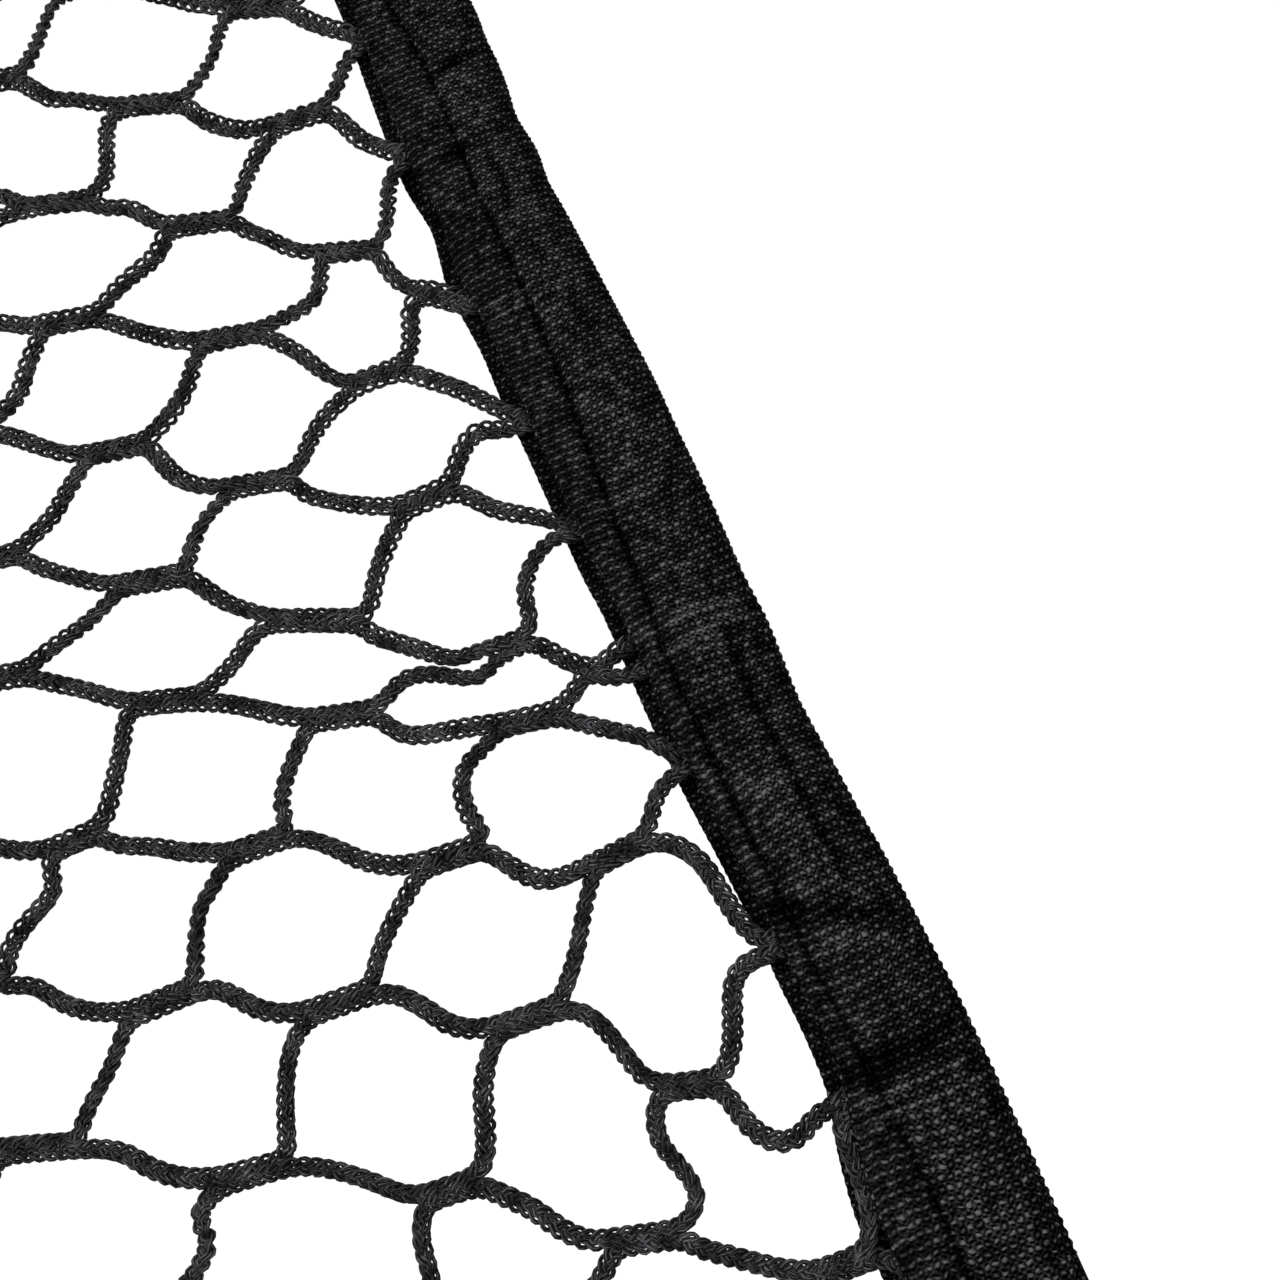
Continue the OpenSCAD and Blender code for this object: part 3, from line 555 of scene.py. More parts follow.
# Stops of the cord that goes up from a junction's right end, in pixels
CORDS_UP = {
    (-2, 10): [(28, 62), (36, 47), (44, 25), (54, 2)],
    (-1, 9): [(205, 73), (216, 53), (219, 32)],
    (0, 8): [(336, 91), (342, 70), (349, 57)],
    (-2, 8): [(98, 190), (107, 176), (107, 152), (106, 132), (111, 117)],
    (-1, 7): [(239, 205), (246, 182), (257, 158), (268, 141)],
    (0, 6): [(384, 235), (389, 211), (387, 190), (393, 175)],
    (0, 4): [(409, 350), (410, 325), (408, 304)],
    (-2, 6): [(111, 294), (132, 273), (153, 258), (163, 243)],
    (-1, 5): [(279, 321), (305, 309), (319, 298), (321, 279), (322, 267)],
    (-2, 4): [(164, 419), (179, 398), (188, 379), (192, 360)],
    (-1, 3): [(301, 461), (311, 434), (327, 411), (345, 397)],
    (0, 2): [(455, 469), (464, 445), (477, 430), (500, 431)],
    (-3, 3): [(35, 535), (56, 515), (70, 488), (83, 469)],
    (-2, 2): [(186, 557), (191, 538), (204, 515), (219, 501)],
    (-1, 1): [(371, 608), (374, 585), (381, 562), (390, 538), (400, 521)],
    (0, 0): [(532, 622), (525, 596), (529, 572), (543, 551), (556, 538)],
    (1, -1): [(610, 655), (622, 649)],
    (-3, 1): [(50, 652), (76, 635), (100, 616), (115, 598)],
    (-2, 0): [(214, 683), (234, 664), (249, 640), (261, 627)],
    (-1, -1): [(384, 700), (395, 683), (411, 673), (437, 672), (464, 678), (484, 677)],
    (0, -2): [(570, 699), (580, 686)],
    (-3, -1): [(109, 816), (115, 797), (121, 773), (126, 750), (126, 726)],
    (-2, -2): [(288, 824), (281, 806), (286, 782), (295, 758), (305, 736)],
    (-1, -3): [(482, 830), (468, 815), (461, 787), (466, 765), (484, 748)],
    (0, -4): [(652, 815), (657, 795), (668, 782)],
    (-4, -4): [(78, 1132), (88, 1104), (106, 1072), (115, 1050), (122, 1031)],
    (-3, -3): [(196, 971), (198, 941), (202, 909), (217, 886), (224, 869)],
    (-2, -4): [(376, 968), (385, 942), (398, 915), (412, 889)],
    (-1, -5): [(563, 994), (573, 968), (580, 938), (585, 906), (591, 884)],
    (0, -6): [(726, 1070), (733, 1046), (733, 1012), (732, 986), (741, 966)],
    (-3, -5): [(289, 1146), (288, 1120), (288, 1088), (290, 1062), (296, 1036)],
    (-2, -6): [(486, 1158), (485, 1125), (482, 1093), (486, 1064), (493, 1044)],
    (-1, -7): [(694, 1213), (699, 1194), (682, 1168), (661, 1147), (654, 1125), (655, 1105)],
    (0, -8): [(872, 1226), (865, 1190), (851, 1155), (840, 1128)],
    (-4, -2): [(6, 957), (22, 931), (42, 909), (57, 892), (52, 872)],
    (-3, 5): [(-14, 424), (6, 406), (19, 388), (26, 361), (36, 342)],
    (-3, 7): [(-20, 226), (2, 218)],
    (-4, -6): [(190, 1284), (197, 1272), (211, 1249), (209, 1234), (198, 1218), (205, 1202)],
    (-3, -7): [(434, 1290), (426, 1264), (419, 1238), (421, 1218)],
    (-2, -8): [(592, 1292), (603, 1276), (611, 1259)],
}
# Stops of the cord that goes down from a junction's right end, in pixels
CORDS_DOWN = {
    (0, 10): [(296, 15), (313, 25), (334, 30), (352, 35)],
    (-2, 10): [(33, 88), (48, 98), (80, 99), (100, 103)],
    (-1, 11): [(176, -2), (200, 4)],
    (-1, 9): [(199, 117), (223, 126), (248, 129)],
    (0, 8): [(343, 121), (361, 138), (378, 144)],
    (-3, 9): [(-14, 190), (5, 193), (18, 201)],
    (-2, 8): [(106, 209), (126, 207), (142, 214), (156, 223)],
    (-1, 7): [(245, 230), (264, 236), (284, 246), (304, 252)],
    (0, 6): [(384, 266), (399, 281), (412, 287)],
    (-3, 7): [(-14, 320), (10, 321), (28, 325)],
    (-2, 6): [(117, 324), (141, 333), (170, 339), (190, 342)],
    (-1, 5): [(281, 343), (301, 355), (325, 374), (342, 383)],
    (0, 4): [(429, 379), (464, 391), (490, 404), (508, 414)],
    (-3, 5): [(-16, 437), (4, 437), (24, 442), (47, 451), (70, 456)],
    (-2, 4): [(164, 465), (179, 481), (198, 488), (216, 489)],
    (-1, 3): [(305, 495), (337, 503), (373, 507), (390, 508)],
    (0, 2): [(470, 496), (491, 508), (523, 514), (548, 519)],
    (-3, 3): [(34, 565), (59, 574), (97, 583), (110, 584)],
    (-2, 2): [(206, 590), (229, 605), (254, 613)],
    (-1, 1): [(369, 634), (396, 641), (419, 647), (441, 655), (458, 658)],
    (0, 0): [(549, 651), (567, 663)],
    (1, -1): [(614, 679), (622, 678)],
    (-3, 1): [(50, 682), (82, 689), (112, 698)],
    (-2, 0): [(226, 703), (256, 709), (287, 716)],
    (-1, -1): [(386, 724), (402, 735), (426, 734), (453, 729), (482, 725)],
    (0, -2): [(582, 724), (614, 732), (646, 739), (668, 751)],
    (-4, 0): [(-16, 846), (4, 849), (24, 852)],
    (-3, -1): [(118, 846), (154, 847), (186, 853), (207, 852)],
    (-2, -2): [(306, 838), (333, 847), (362, 861), (392, 867)],
    (-1, -3): [(501, 860), (526, 876), (548, 882), (572, 874)],
    (0, -4): [(674, 843), (698, 858), (714, 880), (729, 906), (747, 930)],
    (-4, -2): [(-14, 982), (10, 986), (34, 985), (61, 1003), (90, 1012)],
    (-3, -3): [(217, 988), (237, 997), (262, 1011), (288, 1014)],
    (-2, -4): [(396, 993), (424, 1007), (447, 1024), (474, 1030)],
    (-1, -5): [(581, 1010), (602, 1024), (623, 1050), (642, 1077)],
    (0, -6): [(735, 1107), (753, 1131), (778, 1144), (799, 1139), (815, 1116)],
    (-4, -4): [(106, 1149), (128, 1154), (149, 1168), (175, 1177), (198, 1179)],
    (-3, -5): [(314, 1166), (346, 1173), (378, 1184), (403, 1195)],
    (-2, -6): [(504, 1195), (533, 1208), (562, 1230), (590, 1242)],
    (-1, -7): [(702, 1249), (742, 1259), (778, 1269)],
}
# Where the lower cord of a junction joins it further on than the upper one
LATE_JOINS = {(0, 0): (494, 661)}
LONG_HEMMED = {(1, 5), (1, -1)}  # hemmed junctions that are seen along all their length
SPLIT_HEMMED = (1, -1)  # and the one whose two cords part again before the hem


PULL_REACH_MM, PULL_LEAST = 45.0, 0.25  # how far the set junctions pull others along, and what resists them
STRAY_PLACE_MM, STRAY_TILT = 1.1, 0.09  # spread of the other junctions' places and slants
HEM_EDGE_MM = NET_HALF - 24  # the border's cover over the net starts here
PULLS, BOW_MM = (0.8, 1.25), 0.8  # spread of how far a cord keeps its junction's direction, and of its bulge
END_MM = 6  # length of junction that is left in the left-hand border


def regular(column, row):
    return np.array([COLUMN_AT_MM + column * COLUMN_MM, ROW_AT_MM + row * ROW_MM])


class Lattice:
    """Ends of every junction, in millimetres: those that are set, and round them the
    others, which follow them less and less with distance."""

    def __init__(self):
        self.chance = np.random.default_rng(SEED)
        self.set = {key: on_net(ends) for key, ends in JUNCTIONS.items()}
        keys = [k for k in self.set if k[0] < LAST_COLUMN]
        self.near = np.array([regular(*k) for k in keys])
        self.shift = np.array([self.set[k].mean(0) - regular(*k) for k in keys])
        tilts = [self.set[k][1] - self.set[k][0] for k in keys]
        self.tilt = np.array([math.atan2(t[1], t[0]) for t in tilts])
        self.cache = {}

    def ends(self, column, row):
        key = (column, row)
        if key not in self.cache:
            self.cache[key] = self.set[key] if key in self.set else self.guess(column, row)
        return self.cache[key]

    def guess(self, column, row):
        at = regular(column, row)
        weight = np.exp(-((self.near - at) ** 2).sum(-1) / (2 * PULL_REACH_MM ** 2))
        share = weight / (weight.sum() + PULL_LEAST)
        centre = at + share @ self.shift + self.chance.normal(0, STRAY_PLACE_MM, 2)
        tilt = share @ self.tilt + self.chance.normal(0, STRAY_TILT)
        arm = JUNCTION_MM / 2 * np.array([math.cos(tilt), math.sin(tilt)])
        ends = np.array([centre - arm, centre + arm])
        if column == LAST_COLUMN:
            ends[0, 0] = max(ends[0, 0], HEM_EDGE_MM)
        if column == FIRST_COLUMN:
            ends[1, 0] = min(ends[1, 0], -HEM_EDGE_MM)
        return ends


def hermite(start, start_pull, end, end_pull, stops=6):
    t = np.linspace(0, 1, stops + 2)[1:-1, None]
    return ((2 * t ** 3 - 3 * t ** 2 + 1) * start + (t ** 3 - 2 * t ** 2 + t) * start_pull
            + (3 * t ** 2 - 2 * t ** 3) * end + (t ** 3 - t ** 2) * end_pull)


def cord_route(lattice, row):
    """The route of the cord that zigzags between two rows of junctions: it is the
    upper cord of those in its own row and the lower cord of those in the next."""
    chance = lattice.chance
    route, bulge = [], []
    previous = None
    for column in range(FIRST_COLUMN, LAST_COLUMN + 1):
        upper = (column + row) % 2 == 0
        key = (column, row if upper else row + 1)
        left, right = lattice.ends(*key)
        axis = unit(right - left)
        beside = np.array([-axis[1], axis[0]]) * (PAIR_MM if upper else -PAIR_MM)
        if not upper and key in LATE_JOINS:
            left = on_net(LATE_JOINS[key]) - beside
        if previous is not None:
            last_key, last_right, last_axis, last_upper = previous
            stops = (CORDS_UP if last_upper else CORDS_DOWN).get(last_key)
            span = np.linalg.norm(left - last_right)
            pulls = span * chance.uniform(*PULLS, 2)
            bow = chance.normal(0, BOW_MM)
            if stops is None:
                stops = hermite(last_right, last_axis * pulls[0], left, axis * pulls[1])
            else:
                stops = on_net(stops)
            bulge += [0.0] * (len(route) - len(bulge))
            route += list(stops)
            bulge += list(bow * np.sin(np.linspace(0, math.pi, len(stops) + 2)[1:-1]))
        if column == FIRST_COLUMN:
            route.append(right + beside - axis * END_MM)
        else:
            route.append(left + beside)
        if column == LAST_COLUMN:
            if key in LONG_HEMMED:
                route.append(right + beside)
            if key == SPLIT_HEMMED:
                route += list(on_net((CORDS_UP if upper else CORDS_DOWN)[key]))
            route.append(np.array([HEM_MM, route[-1][1] + 2 * beside[1]]))
        else:
            route.append(right + beside)
        previous = (key, right, axis, upper)
    bulge += [0.0] * (len(route) - len(bulge))
    route = np.clip(np.array(route), -HEM_MM, HEM_MM)
    return np.column_stack([route, bulge])


def net_routes():
    lattice = Lattice()
    return [cord_route(lattice, row) for row in range(FIRST_ROW - 1, LAST_ROW + 1)]


# ------------------------------------------------------------------ net cords

FRONT = -BACK
YARN_MM, YARN_APART_MM, YARN_SIDES = 0.38, 0.37, 6  # a yarn's radius, half the distance of two, its sides
PLAIT_WIDE_MM, PLAIT_DEEP_MM = 0.86, 0.5
# The cords are slacker higher up: heights, then how thick they are, the plait's pitch, and
# how far the yarns of a pair part at a turn
SLACK_AT_MM = (110, 310)
BULK, PLAIT_MM, PARTED_MM = (1.12, 1.2), (6.6, 7.7), (0.03, 0.15)
# Waves along a cord: how high, their length over 2 pi, and how often they take the cord's phase
ROLL_WAVE, SHAKE_WAVE, WIDTH_WAVE, FAVOUR_WAVE = (0.35, 19, 1), (0.2, 6.3, 3), (0.12, 11, 1), (1.1, 23, 2)
UNEVEN_MM, UNEVEN_WAVES, HIGH_MM, HIGH_WAVES = 0.08, 3.9, 0.1, 2.9  # each yarn's own thickness and height
# A cord in one: its half width, how much less deep it is, the way round it, and its scallops
KNIT_MM, KNIT_FLAT_MM, KNIT_GIRTH_MM = 1.62, 0.42, 8.8
SCALLOP_MM, SCALLOP_PITCH_MM = 0.16, 3.6
MARGIN_PX = 70
SOFT_MM, STEP_MM = 1.6, 0.42  # rounding of a cord's route, and its step
NEAR_PIECES, FAR_PIECES = 5, 4
NEAR_LEAST, FAR_LEAST, FAR_PICK = 8, 4, 3  # steps that a run has more than, and every how many are kept


def yarn_lofts(line, along, phase):
    """The yarns of a net cord along a line: three pairs that cross like a flat plait.
    The two yarns of a pair part where it turns back at an edge, which leaves a small
    hole there, now more at one edge, now more at the other."""
    def wave(height, length, phases):
        return height * np.sin(along / length + phases * phase)

    points = in_plane(line)
    tangent = unit(np.gradient(points, axis=0))
    side = unit(np.cross(FRONT, tangent))
    roll = (wave(*ROLL_WAVE) + wave(*SHAKE_WAVE))[:, None]
    side, rise = side * np.cos(roll) + FRONT * np.sin(roll), FRONT * np.cos(roll) - side * np.sin(roll)
    bulk, plait, parted = [np.interp(line[:, 1], SLACK_AT_MM, ends) for ends in (BULK, PLAIT_MM, PARTED_MM)]
    turns = 2 * math.pi * np.cumsum(np.gradient(along) / plait) + phase
    wide = PLAIT_WIDE_MM + wave(*WIDTH_WAVE)
    lofts = []
    for third in range(3):
        turn = turns + third * 2 * math.pi / 3
        sway = np.sin(turn)
        slope = wide * np.cos(turn) * 2 * math.pi / plait
        apart = YARN_APART_MM + parted * np.abs(sway) ** 3 * (1 + wave(*FAVOUR_WAVE) * np.sign(sway))
        for way in (-1, 1):
            beside = way * apart / np.sqrt(1 + slope ** 2)
            uneven = UNEVEN_MM * np.sin(along * UNEVEN_WAVES + 2.3 * third + way + 5 * phase)
            height = PLAIT_DEEP_MM * np.sin(2 * turn)
            height += HIGH_MM * np.sin(along * HIGH_WAVES + third + 2 * way + 4 * phase)
            middle = points + MM * (side * (bulk * (wide * sway + beside + uneven))[:, None]
                                    - tangent * (bulk * slope * beside)[:, None]
                                    + rise * (bulk * height)[:, None])
            radius = bulk * (YARN_MM - uneven / 2)
            lofts.append(tube_loft(middle, along, radius[:, None], YARN_SIDES))
    return lofts


def tube_lay(along, girth, sides):
    """The pattern's place on a tube: along it, and round it in even steps."""
    return np.stack(np.meshgrid(along, np.arange(sides + 1) * girth / sides, indexing="ij"), -1)


def tube_loft(middle, along, radius_mm, sides, joined=False, front=FRONT):
    line = np.vstack([middle[-1:], middle, middle[:1]]) if joined else middle
    rings = rings_on(line, np.asarray(radius_mm) * MM, sides, front)
    if joined:
        rings = rings[1:-1]
        along = np.append(along, 2 * along[-1] - along[-2])
    return rings, tube_lay(along, 2 * math.pi * np.mean(radius_mm), sides), joined


def knitted_loft(line, along, phase):
    """A net cord in one: a flat tube whose edges are scalloped by its strands."""
    wave = 2 * math.pi * along / SCALLOP_PITCH_MM + phase
    turn = np.arange(YARN_SIDES) * 2 * math.pi / YARN_SIDES
    scallop = SCALLOP_MM * np.sin(wave[:, None] + np.where(np.cos(turn) > 0, 0, math.pi))
    radius = (KNIT_MM - KNIT_FLAT_MM * np.abs(np.sin(turn)) + scallop * np.abs(np.cos(turn))) * MM
    rings = rings_on(in_plane(line), radius, YARN_SIDES, FRONT)
    return rings, tube_lay(along, KNIT_GIRTH_MM, YARN_SIDES), False


def runs(mask, least):
    """Start and end of each run of more than least True in a mask."""
    edges = np.flatnonzero(np.diff(np.concatenate([[0], mask.astype(int), [0]])))
    return [(start, end) for start, end in edges.reshape(-1, 2) if end - start > least]


def make_net():
    near, far = [], []
    chance = np.random.default_rng(SEED + 1)
    for route in net_routes():
        line, along = smooth_steps(route, SOFT_MM, STEP_MM)
        px = seen_at(line)
        close = ((px > -MARGIN_PX) & (px < VIEW_PX + MARGIN_PX)).all(-1)
        phase = chance.uniform(0, 2 * math.pi)
        for start, end in runs(close, NEAR_LEAST):
            near.append((line[start:end], yarn_lofts(line[start:end], along[start:end], phase)))
        for start, end in runs(~close, FAR_LEAST):
            pick = slice(max(0, start - 1), min(len(line), end + 2), FAR_PICK)
            far.append((line[pick], [knitted_loft(line[pick], along[pick], phase)]))
    for name, cords, pieces, material in (("net_cords_near", near, NEAR_PIECES, STRANDS),
                                          ("net_cords", far, FAR_PIECES, KNITTED)):
        for n, group in enumerate(np.array_split(np.arange(len(cords)), pieces)):
            piece = loft_mesh(f"{name}_{n + 1}", [loft for k in group for loft in cords[k][1]])
            finish_piece(piece, material, "net")
            if cords is far and n == 0:
                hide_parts("net_mesh")


make_net()

# -------------------------------------------------------------------- border

SIDES = ("right", "top_right", "top", "top_left", "left", "bottom_left", "bottom", "bottom_right")
WEB_MM = 1.6  # thickness of the webbing
FOLD_MM = 3.15  # outer radius of the fold
HOLLOW_MM = FOLD_MM - WEB_MM
FRONT_EDGE_MM, BACK_EDGE_MM = 407.0, 404.0  # edges of the front and of the back layer
FOLD_AT_MM = NET_HALF - FOLD_MM
SEAM_MM = 411.0  # where the two layers are sewn together
RELIEF_MM, FOLD_RELIEF = 0.2, 2.2  # height of the floats over the furrows, and times that on the fold
RELIEF_LEVEL = 0.4  # the weave's height that lies on the plain surface
MOUTH_SHADE = 0.4  # painted shade in the fold's mouth: how much less painted light it has than its outside
SUNK_MM = 1.35  # how far the front layer can sink before it meets the back one
NOSE_MM = [(0.3, 1.7), (0.5, 2.1), (0.5, 2.6), (0.3, 3.0)]  # a cut edge's rounding: how far out, how far back
INNER_BEND = math.degrees(0.8)  # the hollow's bend, from its middle to its first point
MITRE_MM = 60  # length of border that a mitre is spread over
OVER_MM, UNDER_MM = 0.75, 0.35  # how far the front stands out on the two sides of the seam
DRAWN_MM, DRAWN_HALF_MM = -0.6, 0.55  # depth of the seam's furrow, and half its width
RIPPLE_MM, RIPPLE_WAVES_MM, RIPPLE_SWAY = 0.25, (9.0, 31.0), 1.3
LONG_HALF_MM, FADE_MM = 1.0, 4  # half the width of a crease along the webbing, and how soon its ends fade

# The border's two edges and its seam as the camera sees them, from top to bottom, in pixels
INNER_EDGE = [(343, 15), (361, 68), (376, 110), (404, 183), (432, 225), (446, 283), (483, 350), (502, 398),
              (524, 443), (553, 508), (585, 578), (601, 605), (635, 682), (655, 728), (688, 797), (722, 860),
              (752, 918), (782, 985), (803, 1026), (829, 1087), (840, 1155), (858, 1220), (886, 1280)]
OUTER_EDGE = [(470, 0), (480, 20), (485, 38), (497, 60), (508, 88), (516, 118), (538, 150), (548, 183),
              (562, 205), (589, 255), (610, 295), (655, 380), (681, 437), (700, 475), (746, 580), (768, 620),
              (799, 700), (843, 780), (866, 823), (880, 845), (919, 920), (960, 998), (998, 1078),
              (1043, 1178), (1089, 1280)]
SEAM = [(421, 64), (456, 143), (501, 248), (540, 332), (580, 431), (614, 519), (654, 618), (666, 657),
        (711, 753), (786, 910), (817, 969), (884, 1099), (942, 1227)]

# Creases across the webbing near the view: height up the slope, from and to (millimetres
# right of the net's centre), slant, depth, and half the width
CREASES = [(321, 417, 427, 0.2, -0.9, 1.4), (315, 412, 428, 0.1, 0.3, 2.0),
           (300.4, 410, 426, 0.15, -0.6, 1.4), (303.5, 413, 428, 0.15, 0.4, 1.0),
           (289, 411, 420, 0.0, 0.3, 2.5), (262.4, 404, 424, 0.08, 0.75, 0.8),
           (259.3, 404, 422, 0.12, 0.75, 0.8), (234, 406, 416, 0.1, 0.4, 0.9),
           (210.8, 408, 418, 0.15, 0.4, 0.9), (183.7, 404, 427, 0.0, 0.9, 0.8),
           (179.6, 404, 427, 0.05, 0.9, 0.8), (165, 409, 418, 0.0, -0.6, 1.7),
           (150, 408, 420, 0.0, 0.3, 3.0), (122.5, 411, 427, -0.5, -0.8, 2.0),
           (125.8, 406, 412, -0.2, -0.5, 2.0), (117, 409, 421, -0.3, 0.4, 1.8),
           (96.9, 407, 427, 0.0, -0.8, 2.5), (91.2, 407, 427, 0.06, 0.9, 0.8),
           (88.0, 407, 426, 0.0, 0.9, 0.8)]
# Creases along it: upper and lower end, place, depth
LONG_CREASES = [(181, 126, 422.3, -0.75), (261, 243, 423.2, -0.6), (299, 279, 421.0, -0.7)]


def bell(x, half):
    return np.exp(-(x / half) ** 2)


def share(x):
    return np.clip(x, 0, 1)


def arc(middle, radius, start, end, steps):
    """Points (out, back) on an arc about (middle, 0). Angles are in degrees."""
    a = np.radians(np.linspace(start, end, steps))
    return np.stack([middle + radius * np.cos(a), radius * np.sin(a)], -1)


def round_outline(points):
    """Of a closed outline: the lengths round it, and the outward directions."""
    tangent = unit(np.roll(points, -1, 0) - np.roll(points, 1, 0))
    return lengths(np.vstack([points, points[:1]])), np.stack([tangent[:, 1], -tangent[:, 0]], -1)


def edge_shift(pixels, nominal):
    """How far an edge lies right of its straight place, as a function of height."""
    at = on_net(pixels)
    order = np.argsort(at[:, 1])
    heights, shifts = at[order, 1], at[order, 0] - nominal
    heights = np.concatenate([[heights[0] - 60], heights, [heights[-1] + 60]])
    shifts = np.concatenate([[0], shifts, [0]])
    fine = np.arange(heights[0], heights[-1], 0.5)
    weight = bell(np.arange(-8, 8.5, 0.5), 3.2)
    smooth = np.convolve(np.interp(fine, heights, shifts), weight / weight.sum(), "same")
    return lambda up: np.interp(up, fine, smooth)


inner_shift = edge_shift(INNER_EDGE, BACK_EDGE_MM)
outer_shift = edge_shift(OUTER_EDGE, NET_HALF)
seam_shift = edge_shift(SEAM, SEAM_MM)


def drawn_in(out, up):
    """How far the right-hand border lies right of its straight place."""
    inner = share((FOLD_AT_MM - out) / (FOLD_AT_MM - BACK_EDGE_MM))
    return inner * inner_shift(up) + (1 - inner) * outer_shift(up)


def seam_at(up, near):
    """Where the seam lies across the webbing, before the border is drawn in."""
    return SEAM_MM + near * (seam_shift(up) - drawn_in(SEAM_MM, up))


def front_swell(out, up, near):
    """How far the front layer stands out: pulled in at the seam, puffed out beside it.
    Second, what the seam and the creases have in that, which the painted light and shade takes in once more."""
    seam = seam_at(up, near)
    over = share((out - seam) / (FOLD_AT_MM - seam))
    under = share((seam - out) / (seam - FRONT_EDGE_MM))
    swell = OVER_MM * np.sin(math.pi * over ** 0.8) + UNDER_MM * np.sin(math.pi * under)
    short, long = RIPPLE_WAVES_MM
    swell += RIPPLE_MM * np.sin(up / short + RIPPLE_SWAY * np.sin(up / long)) * np.sin(math.pi * over)
    creased = DRAWN_MM * bell(out - seam, DRAWN_HALF_MM)
    if near:
        for height, start, end, slant, depth, half in CREASES:
            middle = (start + end) / 2
            window = bell(out - middle, (end - start) / 1.6) * share((FOLD_AT_MM + 1.5 - out) / 2)
            creased += depth * window * bell(up - height - slant * (out - middle), half)
        for top, bottom, place, depth in LONG_CREASES:
            window = share((top - up) / FADE_MM) * share((up - bottom) / FADE_MM)
            creased += depth * window * bell(out - place, LONG_HALF_MM)
    pressed = share((np.abs(up) - 10) / 6) * share((NET_HALF - 45 - np.abs(up)) / 12)  # flat under the tabs
    return np.maximum(swell + creased, -SUNK_MM) * pressed, creased * pressed


def border_section(front, fold_steps, back, lip):
    """Outline of the folded webbing: points (out, back), lay across it, outward
    directions, which points are on the front, which show the weave's relief, and how
    deep they lie in the fold's mouth, which sets their painted shade."""
    parts = [
        ([(x, -FOLD_MM) for x in front], 1, 1, 0),
        (arc(FOLD_AT_MM, FOLD_MM, -90, 90, fold_steps + 1)[1:-1], 0, FOLD_RELIEF, 0),
        ([(x, FOLD_MM) for x in back], 0, 0, 0),
        ([(BACK_EDGE_MM - out, back) for out, back in NOSE_MM[::-1]], 0, 1, 0.5),
        ([(x, HOLLOW_MM) for x in lip], 0, 1, 1),
        (arc(FOLD_AT_MM, HOLLOW_MM, INNER_BEND, -INNER_BEND, 3), 0, 0, 1),
        ([(x, -HOLLOW_MM) for x in (FOLD_AT_MM, 416, FRONT_EDGE_MM)], 0, 0, 1),
        ([(FRONT_EDGE_MM - out, -back) for out, back in NOSE_MM], 0, 1, 0.5),
    ]
    points = np.concatenate([part[0] for part in parts])
    kinds = [np.concatenate([np.full(len(part[0]), float(part[k])) for part in parts]) for k in (1, 2, 3)]
    return points, *round_outline(points), *kinds


def border_loft(step, section, heights, near, relief=0.0):
    """Rings of the border's section, from one mitred corner towards the other."""
    points, lay, outwards, on_front, shown, deep = section
    out = np.broadcast_to(points[:, 0], (len(heights), len(points))).copy()
    back = np.broadcast_to(points[:, 1], out.shape).copy()
    mitre = share(1 - (NET_HALF - np.abs(heights)) / MITRE_MM)
    along = heights[:, None] + (mitre * np.sign(heights))[:, None] * (out - NET_HALF)
    swell, creased = front_swell(out, along, near)
    back -= on_front * swell
    # painted light and shade: lighter where the front swells, darker in creases and the seam (counted twice),
    # and darker again in the fold's mouth
    painted_light = on_front * (swell + creased) - MOUTH_SHADE * deep
    if near:
        out += drawn_in(points[:, 0], along)
    wave = relief * shown * (weave(*wavered(lay[:-1], along)) - RELIEF_LEVEL)
    out += wave * outwards[:, 0]
    back += wave * outwards[:, 1]
    rings = turned(np.stack([out, along, back], -1), step)
    lays = np.stack(wavered(lay, np.column_stack([along, along[:, :1]])), -1)
    return rings, lays, False, painted_light


def finish_border(piece, node=None):
    finish_piece(piece, WEBBING, "net")
    if node:
        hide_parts(node)


FRONT_STEPS = (407, 408.2, 409.4, 410.2, 410.6, 411, 411.4, 411.8, 412.6, 414, 416, 418.5, 421, 423.5,
               425.5, FOLD_AT_MM)
BACK_STEPS, LIP_STEPS = (*FRONT_STEPS[::-1], 405, BACK_EDGE_MM), (404, 405.5, 407, 415, FOLD_AT_MM)
BEYOND_MM = 8  # how far the weave is modelled above and below the view
ENDS_STEP_MM, FAR_STEPS = 1.5, 431


def make_border():
    seen = on_net([OUTER_EDGE[0], INNER_EDGE[-1]])[:, 1]
    step = PICK_MM / 4
    first, last = math.floor((min(seen) - BEYOND_MM) / step), math.ceil((max(seen) + BEYOND_MM) / step)
    heights = np.arange(first, last + 1) * step
    count = round((FOLD_AT_MM - FRONT_EDGE_MM) / (FLOAT_MM / 4))
    fine = border_section(np.linspace(FRONT_EDGE_MM, FOLD_AT_MM, count + 1), 24,
                          np.linspace(FOLD_AT_MM, BACK_EDGE_MM, 10),
                          [*np.linspace(BACK_EDGE_MM, 407.6, 9), 415, FOLD_AT_MM])
    middle = loft_mesh("border_right_middle", [border_loft(0, fine, heights, True, RELIEF_MM)])
    finish_border(middle, "net_border_right")
    ends = []
    for start, end in ((heights[-1], NET_HALF), (-NET_HALF, heights[0])):
        places = np.linspace(start, end, round((end - start) / ENDS_STEP_MM) + 1)
        ends.append(border_loft(0, fine, places, True))
    finish_border(loft_mesh("border_right_ends", ends))
    plain = border_section(FRONT_STEPS, 8, BACK_STEPS, LIP_STEPS)
    places = np.linspace(-NET_HALF, NET_HALF, FAR_STEPS)
    for step in (2, 4, 6):
        piece = loft_mesh(f"border_{SIDES[step]}", [border_loft(step, plain, places, False)])
        finish_border(piece, f"net_border_{SIDES[step]}")


make_border()

# --------------------------------------------------------------- tabs and ties

